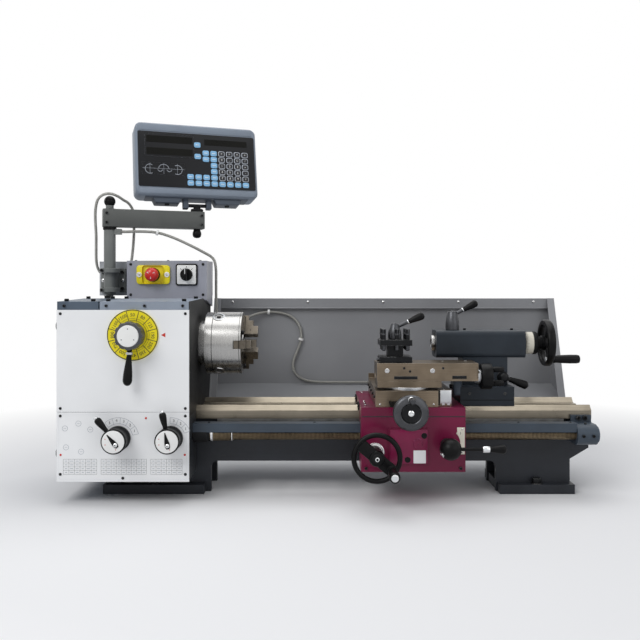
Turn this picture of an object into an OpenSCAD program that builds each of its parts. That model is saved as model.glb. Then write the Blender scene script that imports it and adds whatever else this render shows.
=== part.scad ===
// Bench lathe with headstock, carriage, tailstock, splash guard and a position display on an arm.
// Millimetres. X runs along the bed to the tailstock, Y away from the operator, Z up from the feet.
// The origin is on the floor, midway between the four foot bolts. The spindle axis is at Y = 0.

/* [Bed] */
// Distance between the foot bolts along the bed
foot_pitch_x = 750; // [720:5:780]
// Distance between the foot bolts across the bed
foot_pitch_y = 122; // [118:1:128]
// Diameter of a foot bolt hole
foot_hole_d = 11; // [9:0.5:13]
// Bed beyond the foot bolts on the headstock side
bed_left = 98; // [90:1:110]
// Bed beyond the foot bolts on the tailstock side
bed_right = 106; // [100:1:130]
// Width over the ways
bed_w = 134; // [132:1:140]
// Height of the flat of the ways above the floor
bed_h = 162; // [156:1:175]
// Height of each inverted V way
vee_h = 10; // [8:0.5:11]
// Width of each inverted V way at its base
vee_w = 20; // [16:0.5:22]
// Depth of the machined rail under each way
rail_h = 16; // [14:0.5:18]
// Thickness of the two long walls of the bed
web_t = 12; // [10:0.5:14]
// Thickness of the foot pads
pad_t = 18; // [14:1:22]

/* [Headstock] */
// Height of the spindle axis above the flat of the ways
centre_h = 128; // [124:1:134]
// Length of the headstock casting
head_len = 166; // [160:1:172]
// Front of the headstock casting beyond the bed's side
head_front_out = 81; // [77:1:89]
// Back of the headstock casting beyond the bed's side
head_back_out = 70; // [65:1:78]
// Thickness of the casting walls that carry the spindle bearings
head_end_t = 20; // [18:1:24]
// Thickness of the other casting walls
head_t = 9; // [7:0.5:11]
// Length of the end cover over the change gears
cover_len = 73; // [70:1:80]
// Bore through the spindle
spindle_bore = 26; // [20:0.5:28]
// Spindle diameter in its bearings
spindle_d = 50; // [46:1:52]
// Outside diameter of the spindle bearings
bearing_d = 80; // [76:1:84]

/* [Chuck] */
// Diameter of the three-jaw chuck
chuck_d = 125; // [118:1:130]
// Length of the chuck body
chuck_len = 58; // [54:1:62]
// Thickness of the chuck backplate
plate_t = 14; // [12:0.5:16]
// Through bore of the chuck
chuck_bore = 32; // [30:0.5:34]
// Width of a jaw
jaw_w = 16; // [14:0.5:18]

/* [Carriage] */
// Length of the saddle and apron along the bed
car_len = 194; // [186:1:200]
// Gap from the headstock casting to the saddle where the carriage stands
car_stand = 319; // [300:1:321]
// Height of the apron
apron_h = 103; // [98:1:108]
// Thickness of the saddle over the ways
saddle_t = 16.5; // [15:0.5:18]
// Front of the apron beyond the bed's side
apron_out = 78; // [75:1:83]
// Diameter of the apron handwheel
apron_wheel_d = 92; // [86:1:94]
// Width of the cross slide
cross_w = 117; // [110:1:120]
// Height of the cross slide
cross_t = 30.5; // [28:0.5:33]
// Diameter of the cross slide handwheel
cross_wheel_d = 64; // [56:1:66]
// Length of the top slide body
top_len = 190; // [180:1:192]
// Width of the top slide body
top_w = 75; // [70:1:80]
// Side of the square tool post
post_w = 61; // [56:1:64]

/* [Tailstock] */
// Diameter of the quill
quill_d = 32; // [28:0.5:36]
// Length of the tailstock barrel
barrel_len = 178.6; // [170:0.2:184]
// Diameter of the tailstock handwheel
tail_wheel_d = 95; // [88:1:100]
// Length of the tailstock foot along the bed
tail_foot_len = 106; // [100:1:110]

/* [Lead screw] */
// Diameter of the lead screw
screw_d = 20; // [16:0.5:22]
// Lead screw axis beyond the bed's side
screw_out = 33; // [30:0.5:36]
// Module of the change gears
gear_m = 2; // [1.75:0.25:2]
// Teeth on the spindle gear
spindle_teeth = 30; // [26:1:32]
// Teeth on the lead screw gear
screw_teeth = 40; // [36:1:41]

/* [Display] */
// Width of the display housing
dro_w = 270; // [254:2:284]
// Height of the display housing
dro_h = 164; // [156:1:172]
// Depth of the display housing
dro_d = 50; // [44:1:56]
// Diameter of the display post
dro_post_d = 25; // [22:1:26]
// Distance between the two pivots of the display arm
arm_len = 190; // [180:1:200]
// Angle that the arm is swung back from the bed's direction
arm_yaw = 20; // [14:1:24]
// Angle that the display leans back
dro_lean = 10; // [6:1:14]

/* [Splash guard] */
// Length of the splash guard
guard_len = 776; // [760:2:790]
// Sheet thickness of the splash guard
guard_t = 3; // [2:0.5:4]
// Top of the splash guard above the floor
guard_top = 379; // [372:1:386]
// Front face of the splash guard's back panel beyond the bed's side
guard_out = 144; // [141:1:151]

/* [Hidden] */
// Clearance between pieces that only seat on each other
seat = 0.3;
// Radial clearance of a shaft that runs in a bore
run = 0.05;
// Overrun of cuts past a face
over = 1;
$fn = 48;

// Bed: its ends, walls, legs and pads
bed_x0 = -foot_pitch_x / 2 - bed_left;
bed_x1 = foot_pitch_x / 2 + bed_right;
rail_w = 40;
rail_over = 17;
bed_low = 60;
leg_l_len = 208;
leg_r_len = 146;
leg_r_set = 37;
pad_over = 6;
pad_w = bed_w + 2 * pad_over;
pad_l_len = 197;
pad_r_shift = 3;
arch_r = 14;
rib_t = 10;
rib_count = 6;
gusset_lift = 22;
gusset_low = 64;
web_y = bed_w / 2 - rail_over;
way_z = bed_h - rail_h;
leg_l_x1 = bed_x0 + leg_l_len;
leg_r_x1 = bed_x1 - leg_r_set;
leg_r_x0 = leg_r_x1 - leg_r_len;
vee_y = bed_w / 2 - vee_w / 2;

// Rack under the front rail, and the pinion that runs along it
rack_m = 1.5;
rack_w = 12;
rack_h = 14;
rack_set = 3;
rack_x0 = bed_x0 + leg_l_len + rack_h;
rack_x1 = leg_r_x1 - rack_h;
pinion_teeth = 18;
bull_teeth = 40;
wheel_teeth = 16;
tooth_play = 0.3;
rack_z = way_z - seat - rack_h;
rack_y = -bed_w / 2 + rack_set;
pinion_r = rack_m * pinion_teeth / 2;
pinion_z = rack_z + rack_m - pinion_r;

// Headstock casting, end cover and feed box
spindle_z = bed_h + centre_h;
head_set = 15;
head_gap = 3;
head_top_front = 214;
head_top_peak = 218.5;
head_top_back = 200;
head_peak_y = 22;
head_front = bed_w / 2 + head_front_out;
head_back = bed_w / 2 + head_back_out;
cover_t = 3;
door_t = 3;
door_pin_d = 8;
front_low = 42;
seam_up = 9;
seam_z = bed_h + seam_up;
band_h = 15.5;
sheet_t = 2;
head_x0 = bed_x0 + head_set;
head_x1 = head_x0 + head_len;
cover_x1 = head_x0 - head_gap;
cover_x0 = cover_x1 - cover_len;
panel_x0 = cover_x0 - door_t - 2 * seat;
panel_top = bed_h + head_top_front - band_h;
feed_back = bed_w / 2 + head_gap;
feed_t = 9;
feed_low = 45;

// Spindle, its gear and its pulley, and the motor with the belt
flange_d = 92;
flange_t = 13;
bearing_w = 18;
race_t = 6;
ball_d = 7;
ball_count = 12;
gear_w = 14;
gear_gap = 14;
pulley_w = 18;
pulley_gap = 5;
spindle_pulley_d = 84;
motor_pulley_d = 42;
belt_t = 4;
motor_d = 84;
motor_out = 29;
motor_y = bed_w / 2 + motor_out;
motor_z = 100;
motor_len = 150;
motor_shaft_d = 16;
screw_z = 121;
screw_y = bed_w / 2 + screw_out;
gear_x0 = cover_x0 + gear_gap;
belt_x0 = bed_x0 - pulley_gap - pulley_w;
centre_span = norm([screw_y, spindle_z - screw_z]);
idler_teeth = ceil((centre_span - gear_m * (spindle_teeth + screw_teeth) / 2) / gear_m);
idler_r1 = gear_m * (spindle_teeth + idler_teeth) / 2;
idler_r2 = gear_m * (idler_teeth + screw_teeth) / 2;
idler_a = (idler_r1 * idler_r1 - idler_r2 * idler_r2 + centre_span * centre_span) / (2 * centre_span);
idler_h = sqrt(idler_r1 * idler_r1 - idler_a * idler_a);
screw_dir = [-screw_y, screw_z - spindle_z] / centre_span;
idler_pos = [0, spindle_z] + idler_a * screw_dir + idler_h * [-screw_dir[1], screw_dir[0]];
idler_line = atan2(idler_pos[1] - spindle_z, idler_pos[0]);
screw_line = atan2(screw_z - idler_pos[1], -screw_y - idler_pos[0]);
idler_stud_d = 16;

// Chuck: scroll, pinions and jaws
chuck_x0 = head_x1 + seat + flange_t + 2 * seat;
chuck_x1 = chuck_x0 + plate_t + chuck_len;
scroll_d = 104;
scroll_t = 12;
jaw_root = 14;
jaw_out = 29;
jaw_in_r = 17;
jaw_r = 59;
jaw_step_share = [0.42, 0.72];
jaw_lift_share = [1, 0.66, 0.33];
pinion_d = 18;
pinion_key = 8;
pinion_in = 24;
pinion_set = 17;
wrench_deg = 40;

// Speed dial and lever, feed knobs
dial_x = 62;
dial_z = 314;
dial_d = 95;
dial_t = 3;
knob_d = 52;
knob_len = 26;
hub_t = 10;
lever_d = 9;
lever_len = 92;
lever_lean = 4;
grip_len = 58;
grip_d = 17;
shaft_d = 12;
feed_knob_d = 46;
feed_knob_len = 38;
feed_knob_l = 35;
feed_knob_r = 132;
feed_knob_up = 2;
feed_knob_z = screw_z + feed_knob_up;
feed_grip_d = 13;
feed_grip_len = 34;
feed_lean_l = 40;
feed_lean_r = 12;

// Electrics box, switch and stop button, rear plate
box_h = 79;
box_front = 50;
box_set = 2;
box_t = 2;
box_over = 4;
box_flange = 16;
rear_t = 4;
rear_low = 386;
rear_top = 461;
stop_x = 56;
stop_plate_w = 70;
stop_plate_h = 42;
stop_plate_t = 6;
stop_z = 430;
stop_d = 29;
stop_stem_d = 20;
stop_len = 24;
stop_travel = 6;
switch_x = 126;
switch_plate_w = 42;
switch_bezel = 3;
switch_knob_d = 26;
switch_knob_len = 20;

// Display post, arm and housing
post_x = 33;
post_out = 33;
post_y = bed_w / 2 + post_out;
post_z0 = 389;
post_z1 = 534;
clamp_w = 54;
clamp_h = 52;
clamp_t = 9;
clamp_z0 = 393;
collar_h = 10;
collar_d = 40;
pivot_d = 12;
arm_h = 38.5;
arm_w = 30;
ball_knob_d = 24;
mount_d = 20;
mount_h = 14;
foot_h = 15;
foot_w = 60;
dro_r = 14;
dro_panel_t = 2;
dro_margin = 20;
dro_side = 4;
dro_lift = 18;
window_in = 17;
window_w = 104;
window_h = 48;
window_drop = 7;
slot_w = 98;
slot_h = 14;
slot_drop = 11;
key_w = 15;
key_h = 12.8;
key_x = 18.5;
key_z = 11;
key_pitch_x = 17.9;
key_pitch_z = 14.2;
key_cols = 6;
key_rows = 6;
key_t = 1.2;

// Lead screw, its cover and its end bracket
screw_cover_t = 2;
screw_cover_front = 13;
screw_cover_rise = 23;
screw_cover_lip = 17;
screw_cover_back = 12;
bracket_w = 39;
bracket_boss = 39;
bolt_d = 8;
bolt_head = 13;
sleeve_len = 36;
screw_end = 7;

// Apron, saddle and what they carry
car_x0 = head_x1 + car_stand;
car_x1 = car_x0 + car_len;
apron_t = 12;
apron_gap = 3;
apron_back = bed_w / 2 + apron_gap;
apron_front = bed_w / 2 + apron_out;
apron_low = bed_h - apron_h;
saddle_back_out = 38;
saddle_front = apron_front;
saddle_back = bed_w / 2 + saddle_back_out;
saddle_z1 = bed_h + seat + saddle_t;
apron_wheel_x = 25.5;
apron_wheel_z = 96;
apron_shaft_d = 14;
apron_wheel_out = 55;
apron_wheel_y = apron_front + apron_wheel_out;
rim_d = 10;
hub_d = 26;
crank_len = 44;
crank_d = 19;
bull_w = 8;
plate_w = 73;
plate_h = 66;
plate_x = 51.4;
plate_up = 15;
lug_t = 4;
nut_lever_x = 159;
nut_lever_z = 110;
nut_ball_d = 40;
nut_lever_len = 100;
nut_len = 36;
nut_open = 5;
nut_drop = 16;
nut_half = 12;

// Cross slide and its dovetail, feed screw and handwheel
cross_x = 28;
cross_in = 5;
cross_back_out = 22;
cross_front = saddle_front - cross_in;
cross_back = bed_w / 2 + cross_back_out;
tail_w = 60;
tail_slope = 9;
tail_t = 11;
cross_screw_d = 10;
cross_screw_rise = 6;
cross_dial_d = 44;
cross_dial_out = 27;
cross_wheel_out = 70;
cross_dial_y = saddle_front + cross_dial_out;
cross_wheel_y = saddle_front + cross_wheel_out;
cross_wheel_t = 14;
cross_grip_d = 12;
cross_grip_len = 26;
scale_w = 26;
scale_h = 31;
scale_len = 210;
chip_plate_t = 3;
chip_plate_up = 10;

// Top slide, tool post and their levers
swivel_x = 91;
swivel_out = 30;
swivel_y = bed_w / 2 + swivel_out;
swivel_d = 87;
swivel_t = 6;
swivel_pin_d = 20;
base_len = 120;
base_t = 11;
top_t = 33.5;
top_x = 30;
top_front = 38;
top_wheel_d = 51;
top_wheel_t = 22;
top_screw_d = 8;
top_grip_d = 11;
top_grip_len = 24;
post_x0 = 36;
post_flange = 11;
post_slot = 21;
post_core = 30;
post_bolt_d = 8;
post_bolt_up = 21;
post_stud_d = 16;
post_hub_d = 26;
post_hub_h = 30;
post_lever_len = 62;

// Tailstock
tail_gap = 5;
tail_foot_w = 120;
tail_foot_h = 45;
tail_neck_w = 56;
tail_neck_x = 10;
tail_neck_len = 90;
barrel_w = 66;
barrel_set = 43;
barrel_low = 28;
barrel_r = 9;
quill_out = 6;
quill_len = 150;
tail_screw_d = 14;
tail_dial_d = 45;
tail_dial_t = 15;
tail_wheel_x = 42;
tail_rim_d = 16;
tail_grip_d = 18;
tail_grip_len = 52;
lock_x = 37;
lock_d = 28;
lock_h = 38;
lock_lever_len = 58;
lock_stud = 8;
clamp_lever_len = 52;
clamp_hub_d = 20;
clamp_y = 62;

// Splash guard: its fold, lip and side wings
guard_x0 = head_x1;
guard_x1 = guard_x0 + guard_len;
guard_lip = 22;
guard_lip_out = 11;
guard_fold_z = 182;
guard_foot_out = 25;
guard_foot_y = bed_w / 2 + guard_foot_out;
guard_back = bed_w / 2 + guard_out;
guard_foot_z = 150;
guard_wing_in = 16;
guard_wing_out = 41;
guard_wing_y = bed_w / 2 + guard_wing_out;
guard_bracket_w = 30;
guard_bracket_count = 3;

// Cables: diameter and hand-chosen routes in the frame of the whole machine
cable_d = 6;
cable_sides = 8;
tie_w = 5;
tie_t = 2;
cable_long_route = [
    [-480, 100, 524], [-468, 100, 524], [-440, 106, 525], [-405, 113, 523], [-370, 119, 512],
    [-335, 123, 496], [-308, 126, 482], [-286, 129, 468], [-280, 132, 448], [-280, 137, 415],
    [-281, 145, 380], [-280, 151, 345], [-274, 158, 322], [-258, 168, 312], [-240, 178, 318],
    [-222, 186, 330], [-200, 195, 342], [-168, 202, 348], [-136, 203, 345], [-112, 203, 334],
    [-96, 203, 312], [-94, 203, 285], [-102, 203, 260], [-112, 203, 232], [-108, 203, 208],
    [-88, 202, 193], [-60, 201, 188], [-20, 200, 187], [20, 200, 187], [60, 200, 187]
];
cable_loop_route = [
    [-530, 148, 425], [-530, 157, 425], [-536, 162, 431], [-543, 155, 440], [-544, 140, 452],
    [-542, 126, 468], [-539, 115, 490], [-537, 108, 518], [-537, 102, 548], [-535, 96, 572],
    [-528, 88, 592], [-514, 80, 602], [-498, 80, 604], [-486, 92, 600], [-478, 108, 594],
    [-470, 124, 588], [-464, 137, 574], [-462, 138, 550], [-462, 138, 520], [-463, 134, 490],
    [-464, 126, 465], [-466, 119, 445], [-466, 122, 430], [-466, 131, 430]
];

// Shapes shared by the sub-parts
module block(a, b) { translate(a) cube(b - a); }
module xrod(d, x0, x1, y, z) { translate([x0, y, z]) rotate([0, 90, 0]) cylinder(h = x1 - x0, d = d); }
module yrod(d, y0, y1, x, z) { translate([x, y1, z]) rotate([90, 0, 0]) cylinder(h = y1 - y0, d = d); }
module zrod(d, z0, z1, x, y) { translate([x, y, z0]) cylinder(h = z1 - z0, d = d); }
module xcone(d0, d1, x0, x1, y, z) {
    translate([x0, y, z]) rotate([0, 90, 0]) cylinder(h = x1 - x0, d1 = d0, d2 = d1);
}
module ycone(d0, d1, y0, y1, x, z) {
    translate([x, y1, z]) rotate([90, 0, 0]) cylinder(h = y1 - y0, d1 = d1, d2 = d0);
}
// A bar or a tapered grip from one point to another
module bar(p, q, d1, d2) {
    v = q - p;
    translate(p) rotate([0, acos(v[2] / norm(v)), atan2(v[1], v[0])])
        cylinder(h = norm(v), d1 = d1, d2 = d2);
}
// A section drawn across the machine, extruded along X, and one drawn from the front, along Y
module section_x(x0, x1) { translate([x0, 0, 0]) rotate([90, 0, 90]) linear_extrude(x1 - x0) children(); }
module section_y(y0, y1) { translate([0, y1, 0]) rotate([90, 0, 0]) linear_extrude(y1 - y0) children(); }
// A rectangle with round corners
module round_rect(w, h, r) {
    for (k = [0, 1]) {
        translate([k * r, (1 - k) * r]) square([w - 2 * k * r, h - 2 * (1 - k) * r]);
    }
    for (x = [r, w - r], y = [r, h - r]) translate([x, y]) circle(r);
}
// A socket screw head, its hexagon open to the front
module yscrew(d, y0, x, z) {
    difference() {
        yrod(d, y0 - d / 2, y0, x, z);
        translate([x, y0 - d / 4, z]) rotate([90, 0, 0]) cylinder(h = d, d = d * hex_share, $fn = 6);
    }
}
hex_share = 0.6;
neck_share = 0.8;
stem_share = 0.7;
wide_share = 1.3;
hub_share = 0.6;
grip_neck_share = 0.5;
knob_share = 0.9;
pressure_deg = 20;
root_share = 1.25;

// The outline of a gear with straight-chorded involute flanks
function inv(a) = tan(a) * 180 / PI - a;
function tooth_half(r, rb, m, z, play) =
    90 / z * (1 - play / (PI * m / 2)) + inv(pressure_deg) - inv(acos(min(1, rb / max(r, rb))));
function gear_outline(m, z, play) = [
    for (i = [0:z - 1])
        let (r = m * z / 2, rb = r * cos(pressure_deg), rr = r - root_share * m, rt = r + m, a = i * 360 / z)
        for (p = [[rr, -1], [r, -1], [rt, -1], [rt, 1], [r, 1], [rr, 1]])
            let (b = a + p[1] * tooth_half(p[0], rb, m, z, play))
            p[0] * [cos(b), sin(b)]
];
module gear(m, z, w, bore, phase) {
    linear_extrude(w) difference() {
        rotate(phase) polygon(gear_outline(m, z, tooth_play));
        circle(d = bore);
    }
}
// A round tube swept along a route, its rings square to the run
function unit(v) = v / norm(v);
function heading(r, i) = unit(r[min(i + 1, len(r) - 1)] - r[max(i - 1, 0)]);
function side_of(t) = abs(t[1]) < 0.9 ? unit(cross(t, [0, 1, 0])) : unit(cross(t, [1, 0, 0]));
function ring(p, t, d, n) = let (u = side_of(t), v = cross(t, u))
    [for (k = [0:n - 1]) p + d / 2 * (cos(k * 360 / n) * u + sin(k * 360 / n) * v)];
module swept(r, d, n) {
    last = len(r) - 1;
    pts = [for (i = [0:last]) each ring(r[i], heading(r, i), d, n)];
    walls = [for (i = [0:last - 1], k = [0:n - 1]) each [
        [i * n + k, i * n + (k + 1) % n, (i + 1) * n + k],
        [i * n + (k + 1) % n, (i + 1) * n + (k + 1) % n, (i + 1) * n + k]
    ]];
    caps = [[for (k = [n - 1:-1:0]) k], [for (k = [0:n - 1]) last * n + k]];
    polyhedron(points = pts, faces = concat(walls, caps), convexity = 10);
}

// Angle of a tooth on gear b that meshes with gear a, whose first tooth is at phase_a
function mesh_phase(line, phase_a, za, zb) = line + 180 - (phase_a - line) * za / zb + 180 / zb;
// A flat strip of sheet in section, from p to q
module strip(p, q, t) {
    v = q - p;
    translate(p) rotate(atan2(v[1], v[0])) translate([-t / 2, -t / 2]) square([norm(v) + t, t]);
}
// The inverted V ways with clearance, to cut from whatever sits on the bed
module ways_cut(x0, x1) {
    for (s = [-1, 1]) section_x(x0 - over, x1 + over) polygon([
        [s * (bed_w / 2 - vee_w - 2 * seat), bed_h - over],
        [s * (bed_w / 2 - vee_w - 2 * seat), bed_h + seat],
        [s * vee_y, bed_h + vee_h + 3 * seat],
        [s * (bed_w / 2 + 2 * seat), bed_h + seat],
        [s * (bed_w / 2 + 2 * seat), bed_h - over]
    ]);
}
// A dovetail in section: half width at its foot, flare of each side, height, growth all round
module dovetail(w, flare, h, grow) {
    polygon([
        [-w / 2 - grow, -over], [-w / 2 - grow, 0], [-w / 2 - flare - grow, h + grow],
        [w / 2 + flare + grow, h + grow], [w / 2 + grow, 0], [w / 2 + grow, -over]
    ]);
}

// Bed
module bed_side() {
    polygon([
        [bed_x0, 0], [leg_l_x1, 0], [leg_l_x1, bed_low], [leg_r_x0, bed_low], [leg_r_x0, 0],
        [leg_r_x1, 0], [leg_r_x1, gusset_low], [bed_x1, gusset_low + gusset_lift],
        [bed_x1, way_z + over], [bed_x0, way_z + over]
    ]);
    for (s = [-1, 1]) translate([s < 0 ? leg_l_x1 : leg_r_x0, bed_low]) difference() {
        translate([s < 0 ? 0 : -arch_r, -arch_r]) square(arch_r);
        translate([-s * arch_r, -arch_r]) circle(arch_r);
    }
}
module bed() {
    color([0.13, 0.14, 0.17]) difference() {
        union() {
            for (y = [-web_y, web_y - web_t]) section_y(y, y + web_t) bed_side();
            for (s = [0, 1]) mirror([0, s, 0]) section_x(bed_x0, bed_x1) polygon([
                [bed_w / 2 - rail_w, way_z], [bed_w / 2, way_z], [bed_w / 2, bed_h],
                [vee_y, bed_h + vee_h], [bed_w / 2 - vee_w, bed_h], [bed_w / 2 - rail_w, bed_h]
            ]);
            for (x = [bed_x0, leg_r_x1 - web_t])
                block([x, -web_y, pad_t - over], [x + web_t, web_y, way_z + over]);
            block([bed_x1 - web_t, -web_y, gusset_low + gusset_lift], [bed_x1, web_y, way_z + over]);
            for (i = [1:rib_count])
                let (x = leg_l_x1 + i * (leg_r_x0 - leg_l_x1) / (rib_count + 1))
                block([x, -web_y, bed_low], [x + rib_t, web_y, way_z + over]);
            block([bed_x0, -pad_w / 2, 0], [bed_x0 + pad_l_len, pad_w / 2, pad_t]);
            block([leg_r_x0 + pad_r_shift, -pad_w / 2, 0], [leg_r_x1 + pad_r_shift, pad_w / 2, pad_t]);
        }
        for (x = [-1, 1], y = [-1, 1])
            zrod(foot_hole_d, -over, pad_t + over, x * foot_pitch_x / 2, y * foot_pitch_y / 2);
    }
}
module rack() {
    p = PI * rack_m;
    n = floor((rack_x1 - rack_x0) / p);
    half = (p / 2 - tooth_play) / 2;
    slope = tan(pressure_deg) * rack_m;
    root = rack_z + (1 + root_share) * rack_m;
    color("gray") section_y(rack_y, rack_y + rack_w) polygon(concat(
        [[rack_x0, rack_z + rack_h], [rack_x0, root]],
        [for (i = [0:n - 1]) let (c = rack_x0 + (i + 0.5) * p) each [
            [c - half - root_share * slope, root], [c - half + slope, rack_z],
            [c + half - slope, rack_z], [c + half + root_share * slope, root]
        ]],
        [[rack_x0 + n * p, root], [rack_x0 + n * p, rack_z + rack_h]]
    ));
}

// Headstock casting, its end cover and door
module head_section(z0, t) {
    polygon([
        [-head_front + t, z0], [-head_front + t, bed_h + head_top_front - t],
        [head_peak_y, bed_h + head_top_peak - t], [head_back - t, bed_h + head_top_back - t],
        [head_back - t, z0]
    ]);
}
module headstock() {
    z0 = bed_h + seat;
    color([0.34, 0.37, 0.42]) difference() {
        section_x(head_x0, head_x1) head_section(z0, 0);
        section_x(head_x0 + head_end_t, head_x1 - head_end_t) head_section(z0 + vee_h + head_t, head_t);
        xrod(bearing_d, head_x0 - over, head_x1 + over, 0, spindle_z);
        ways_cut(head_x0, head_x1);
        yrod(shaft_d + 2 * run, -head_front - over, -head_front + head_t + over, head_x0 + dial_x, dial_z);
        xrod(idler_stud_d + 2 * run, head_x0 - over, head_x0 + head_end_t + over, idler_pos[0], idler_pos[1]);
    }
}
module end_cover() {
    pin_x = cover_x0 - seat - door_t / 2;
    color([0.25, 0.31, 0.38]) {
        difference() {
            union() {
                section_x(cover_x0, cover_x1) head_section(front_low, 0);
                section_x(cover_x1 - over, head_x0 - seat) head_section(bed_h + vee_h + head_t, cover_t);
            }
            section_x(cover_x0 - over, cover_x1 - cover_t) head_section(front_low + cover_t, cover_t);
            section_x(cover_x0 - over, head_x0 + over) head_section(bed_h + vee_h + head_t, 2 * cover_t);
            section_x(cover_x1 - cover_t - over, cover_x1 + over)
                head_section(front_low + 2 * cover_t, 2 * cover_t);
            block([bed_x0 - 2 * seat, -pad_w / 2 - seat, front_low - over],
                [cover_x1 + over, pad_w / 2 + seat, front_low + 2 * cover_t + over]);
        }
        for (z = [front_low + 2 * door_pin_d, bed_h + head_top_back - 4 * door_pin_d]) {
            block([cover_x0, head_back - over, z - door_pin_d],
                [cover_x0 + door_pin_d, head_back + door_pin_d, z + door_pin_d]);
            zrod(2 * door_pin_d, z - door_pin_d, z + door_pin_d, pin_x, head_back + door_pin_d);
            zrod(door_pin_d, z, z + 3 * door_pin_d, pin_x, head_back + door_pin_d);
        }
    }
}
module gear_door() {
    pin_x = cover_x0 - seat - door_t / 2;
    color([0.25, 0.31, 0.38]) difference() {
        union() {
            section_x(cover_x0 - seat - door_t, cover_x0 - seat) head_section(front_low, 0);
            for (z = [front_low + 2 * door_pin_d, bed_h + head_top_back - 4 * door_pin_d]) {
                zrod(2 * door_pin_d, z + door_pin_d + seat, z + 3 * door_pin_d, pin_x,
                    head_back + door_pin_d);
                block([pin_x - door_t / 2, head_back - over, z + door_pin_d + seat],
                    [pin_x + door_t / 2, head_back + door_pin_d, z + 3 * door_pin_d]);
            }
        }
        for (z = [front_low + 2 * door_pin_d, bed_h + head_top_back - 4 * door_pin_d])
            zrod(door_pin_d + 2 * run, z + over, z + 3 * door_pin_d + over, pin_x, head_back + door_pin_d);
    }
}
module front_panels() {
    y1 = -head_front - seat;
    color([0.9, 0.91, 0.93]) difference() {
        for (z = [[front_low, seam_z - seat], [seam_z + seat, panel_top]])
            block([panel_x0, y1 - sheet_t, z[0]], [head_x1, y1, z[1]]);
        for (x = [head_x0 + feed_knob_l, head_x0 + feed_knob_r])
            yrod(shaft_d + 2 * run, y1 - sheet_t - over, y1 + over, x, feed_knob_z);
        yrod(shaft_d + 2 * run, y1 - sheet_t - over, y1 + over, head_x0 + dial_x, dial_z);
    }
}
module machine_screws() {
    y1 = -head_front - seat - sheet_t - seat / 3;
    inset = panel_screw_d;
    color([0.3, 0.3, 0.32]) {
        for (x = [panel_x0 + inset, head_x1 - inset]) {
            for (z = [panel_top - inset, seam_z + inset, seam_z - inset, front_low + 2 * inset])
                yrod(inset, y1 - inset / 3, y1, x, z);
        }
        yrod(inset, y1 - inset / 3, y1, (panel_x0 + head_x1) / 2, front_low + inset);
        for (x = [bracket_x0 + bolt_head, bracket_x1 - bolt_head])
            yscrew(bolt_head, -bracket_front - seat / 3, x, way_z + rail_h / 2 - bolt_head / 2);
        for (i = [0:guard_bracket_count])
            let (x = guard_x0 + guard_bracket_w + i * (guard_len - 2 * guard_bracket_w) / guard_bracket_count)
            zrod(bolt_head, guard_foot_z + guard_t / 2 + seat / 3, guard_foot_z + bolt_d,
                x, (bed_w / 2 + guard_foot_y) / 2 + seat);
    }
}
module feed_box() {
    z1 = bed_h;
    color([0.2, 0.22, 0.25]) difference() {
        block([head_x0, -head_front, feed_low], [head_x1, -feed_back, z1]);
        block([head_x0 + feed_t, -head_front + feed_t, feed_low + feed_t],
            [head_x1 - feed_t, -feed_back + over, z1 - feed_t]);
        xrod(screw_d + 2 * run, head_x0 - over, head_x1 + over, -screw_y, screw_z);
        for (x = [head_x0 + feed_knob_l, head_x0 + feed_knob_r])
            yrod(shaft_d + 2 * run, -head_front - over, -head_front + feed_t + over, x, feed_knob_z);
    }
}

// Electrics box, rear plate, stop button and switch
function head_top_at(y) = bed_h + head_top_peak
    - (y - head_peak_y) / (head_back - head_peak_y) * (head_top_peak - head_top_back);
box_z1 = bed_h + head_top_peak + box_h;
box_x0 = head_x0 + box_set;
box_x1 = head_x1 + box_over;
module box_section(t) {
    polygon([
        [box_front + t, head_top_at(box_front) + seat + t], [box_front + t, box_z1 - t],
        [head_back - t, box_z1 - t], [head_back - t, head_top_at(head_back) + seat + t]
    ]);
}
module electrics_box() {
    color([0.62, 0.62, 0.68]) difference() {
        union() {
            section_x(box_x0, box_x1) box_section(0);
            section_x(box_x0, head_x1) polygon([
                [box_front - box_flange, head_top_at(box_front - box_flange) + seat],
                [box_front - box_flange, head_top_at(box_front - box_flange) + seat + box_t],
                [box_front + box_t, head_top_at(box_front) + seat + box_t],
                [box_front + box_t, head_top_at(box_front) + seat]
            ]);
        }
        section_x(box_x0 + box_t, box_x1 - box_t) box_section(box_t);
        yrod(stop_stem_d + 2 * run, box_front - over, box_front + box_t + over, box_x0 + stop_x, stop_z);
        yrod(shaft_d + 2 * run, box_front - over, box_front + box_t + over, box_x0 + switch_x, stop_z);
    }
}
module rear_plate() {
    color([0.78, 0.78, 0.8])
        block([panel_x0, head_back + seat, rear_low], [box_x1, head_back + seat + rear_t, rear_top]);
    color([0.1, 0.1, 0.1]) {
        first = cable_loop_route[0];
        end = cable_loop_route[len(cable_loop_route) - 1];
        yrod(cable_d + 2 * tie_t, head_back + seat + rear_t - over, first[1], first[0], first[2]);
        yrod(cable_d + 2 * tie_t, end[1], head_back + seat + over, end[0], end[2]);
    }
}
module control_plates() {
    y1 = box_front - seat;
    color([0.95, 0.78, 0.1]) difference() {
        block([box_x0 + stop_x - stop_plate_w / 2, y1 - stop_plate_t, stop_z - stop_plate_h / 2],
            [box_x0 + stop_x + stop_plate_w / 2, y1, stop_z + stop_plate_h / 2]);
        yrod(stop_stem_d + 2 * run, y1 - stop_plate_t - over, y1 + over, box_x0 + stop_x, stop_z);
    }
    color([0.92, 0.92, 0.92]) difference() {
        block([box_x0 + switch_x - switch_plate_w / 2, y1 - stop_plate_t, stop_z - switch_plate_w / 2],
            [box_x0 + switch_x + switch_plate_w / 2, y1, stop_z + switch_plate_w / 2]);
        yrod(shaft_d + 2 * run, y1 - stop_plate_t - over, y1 + over, box_x0 + switch_x, stop_z);
    }
}
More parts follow.
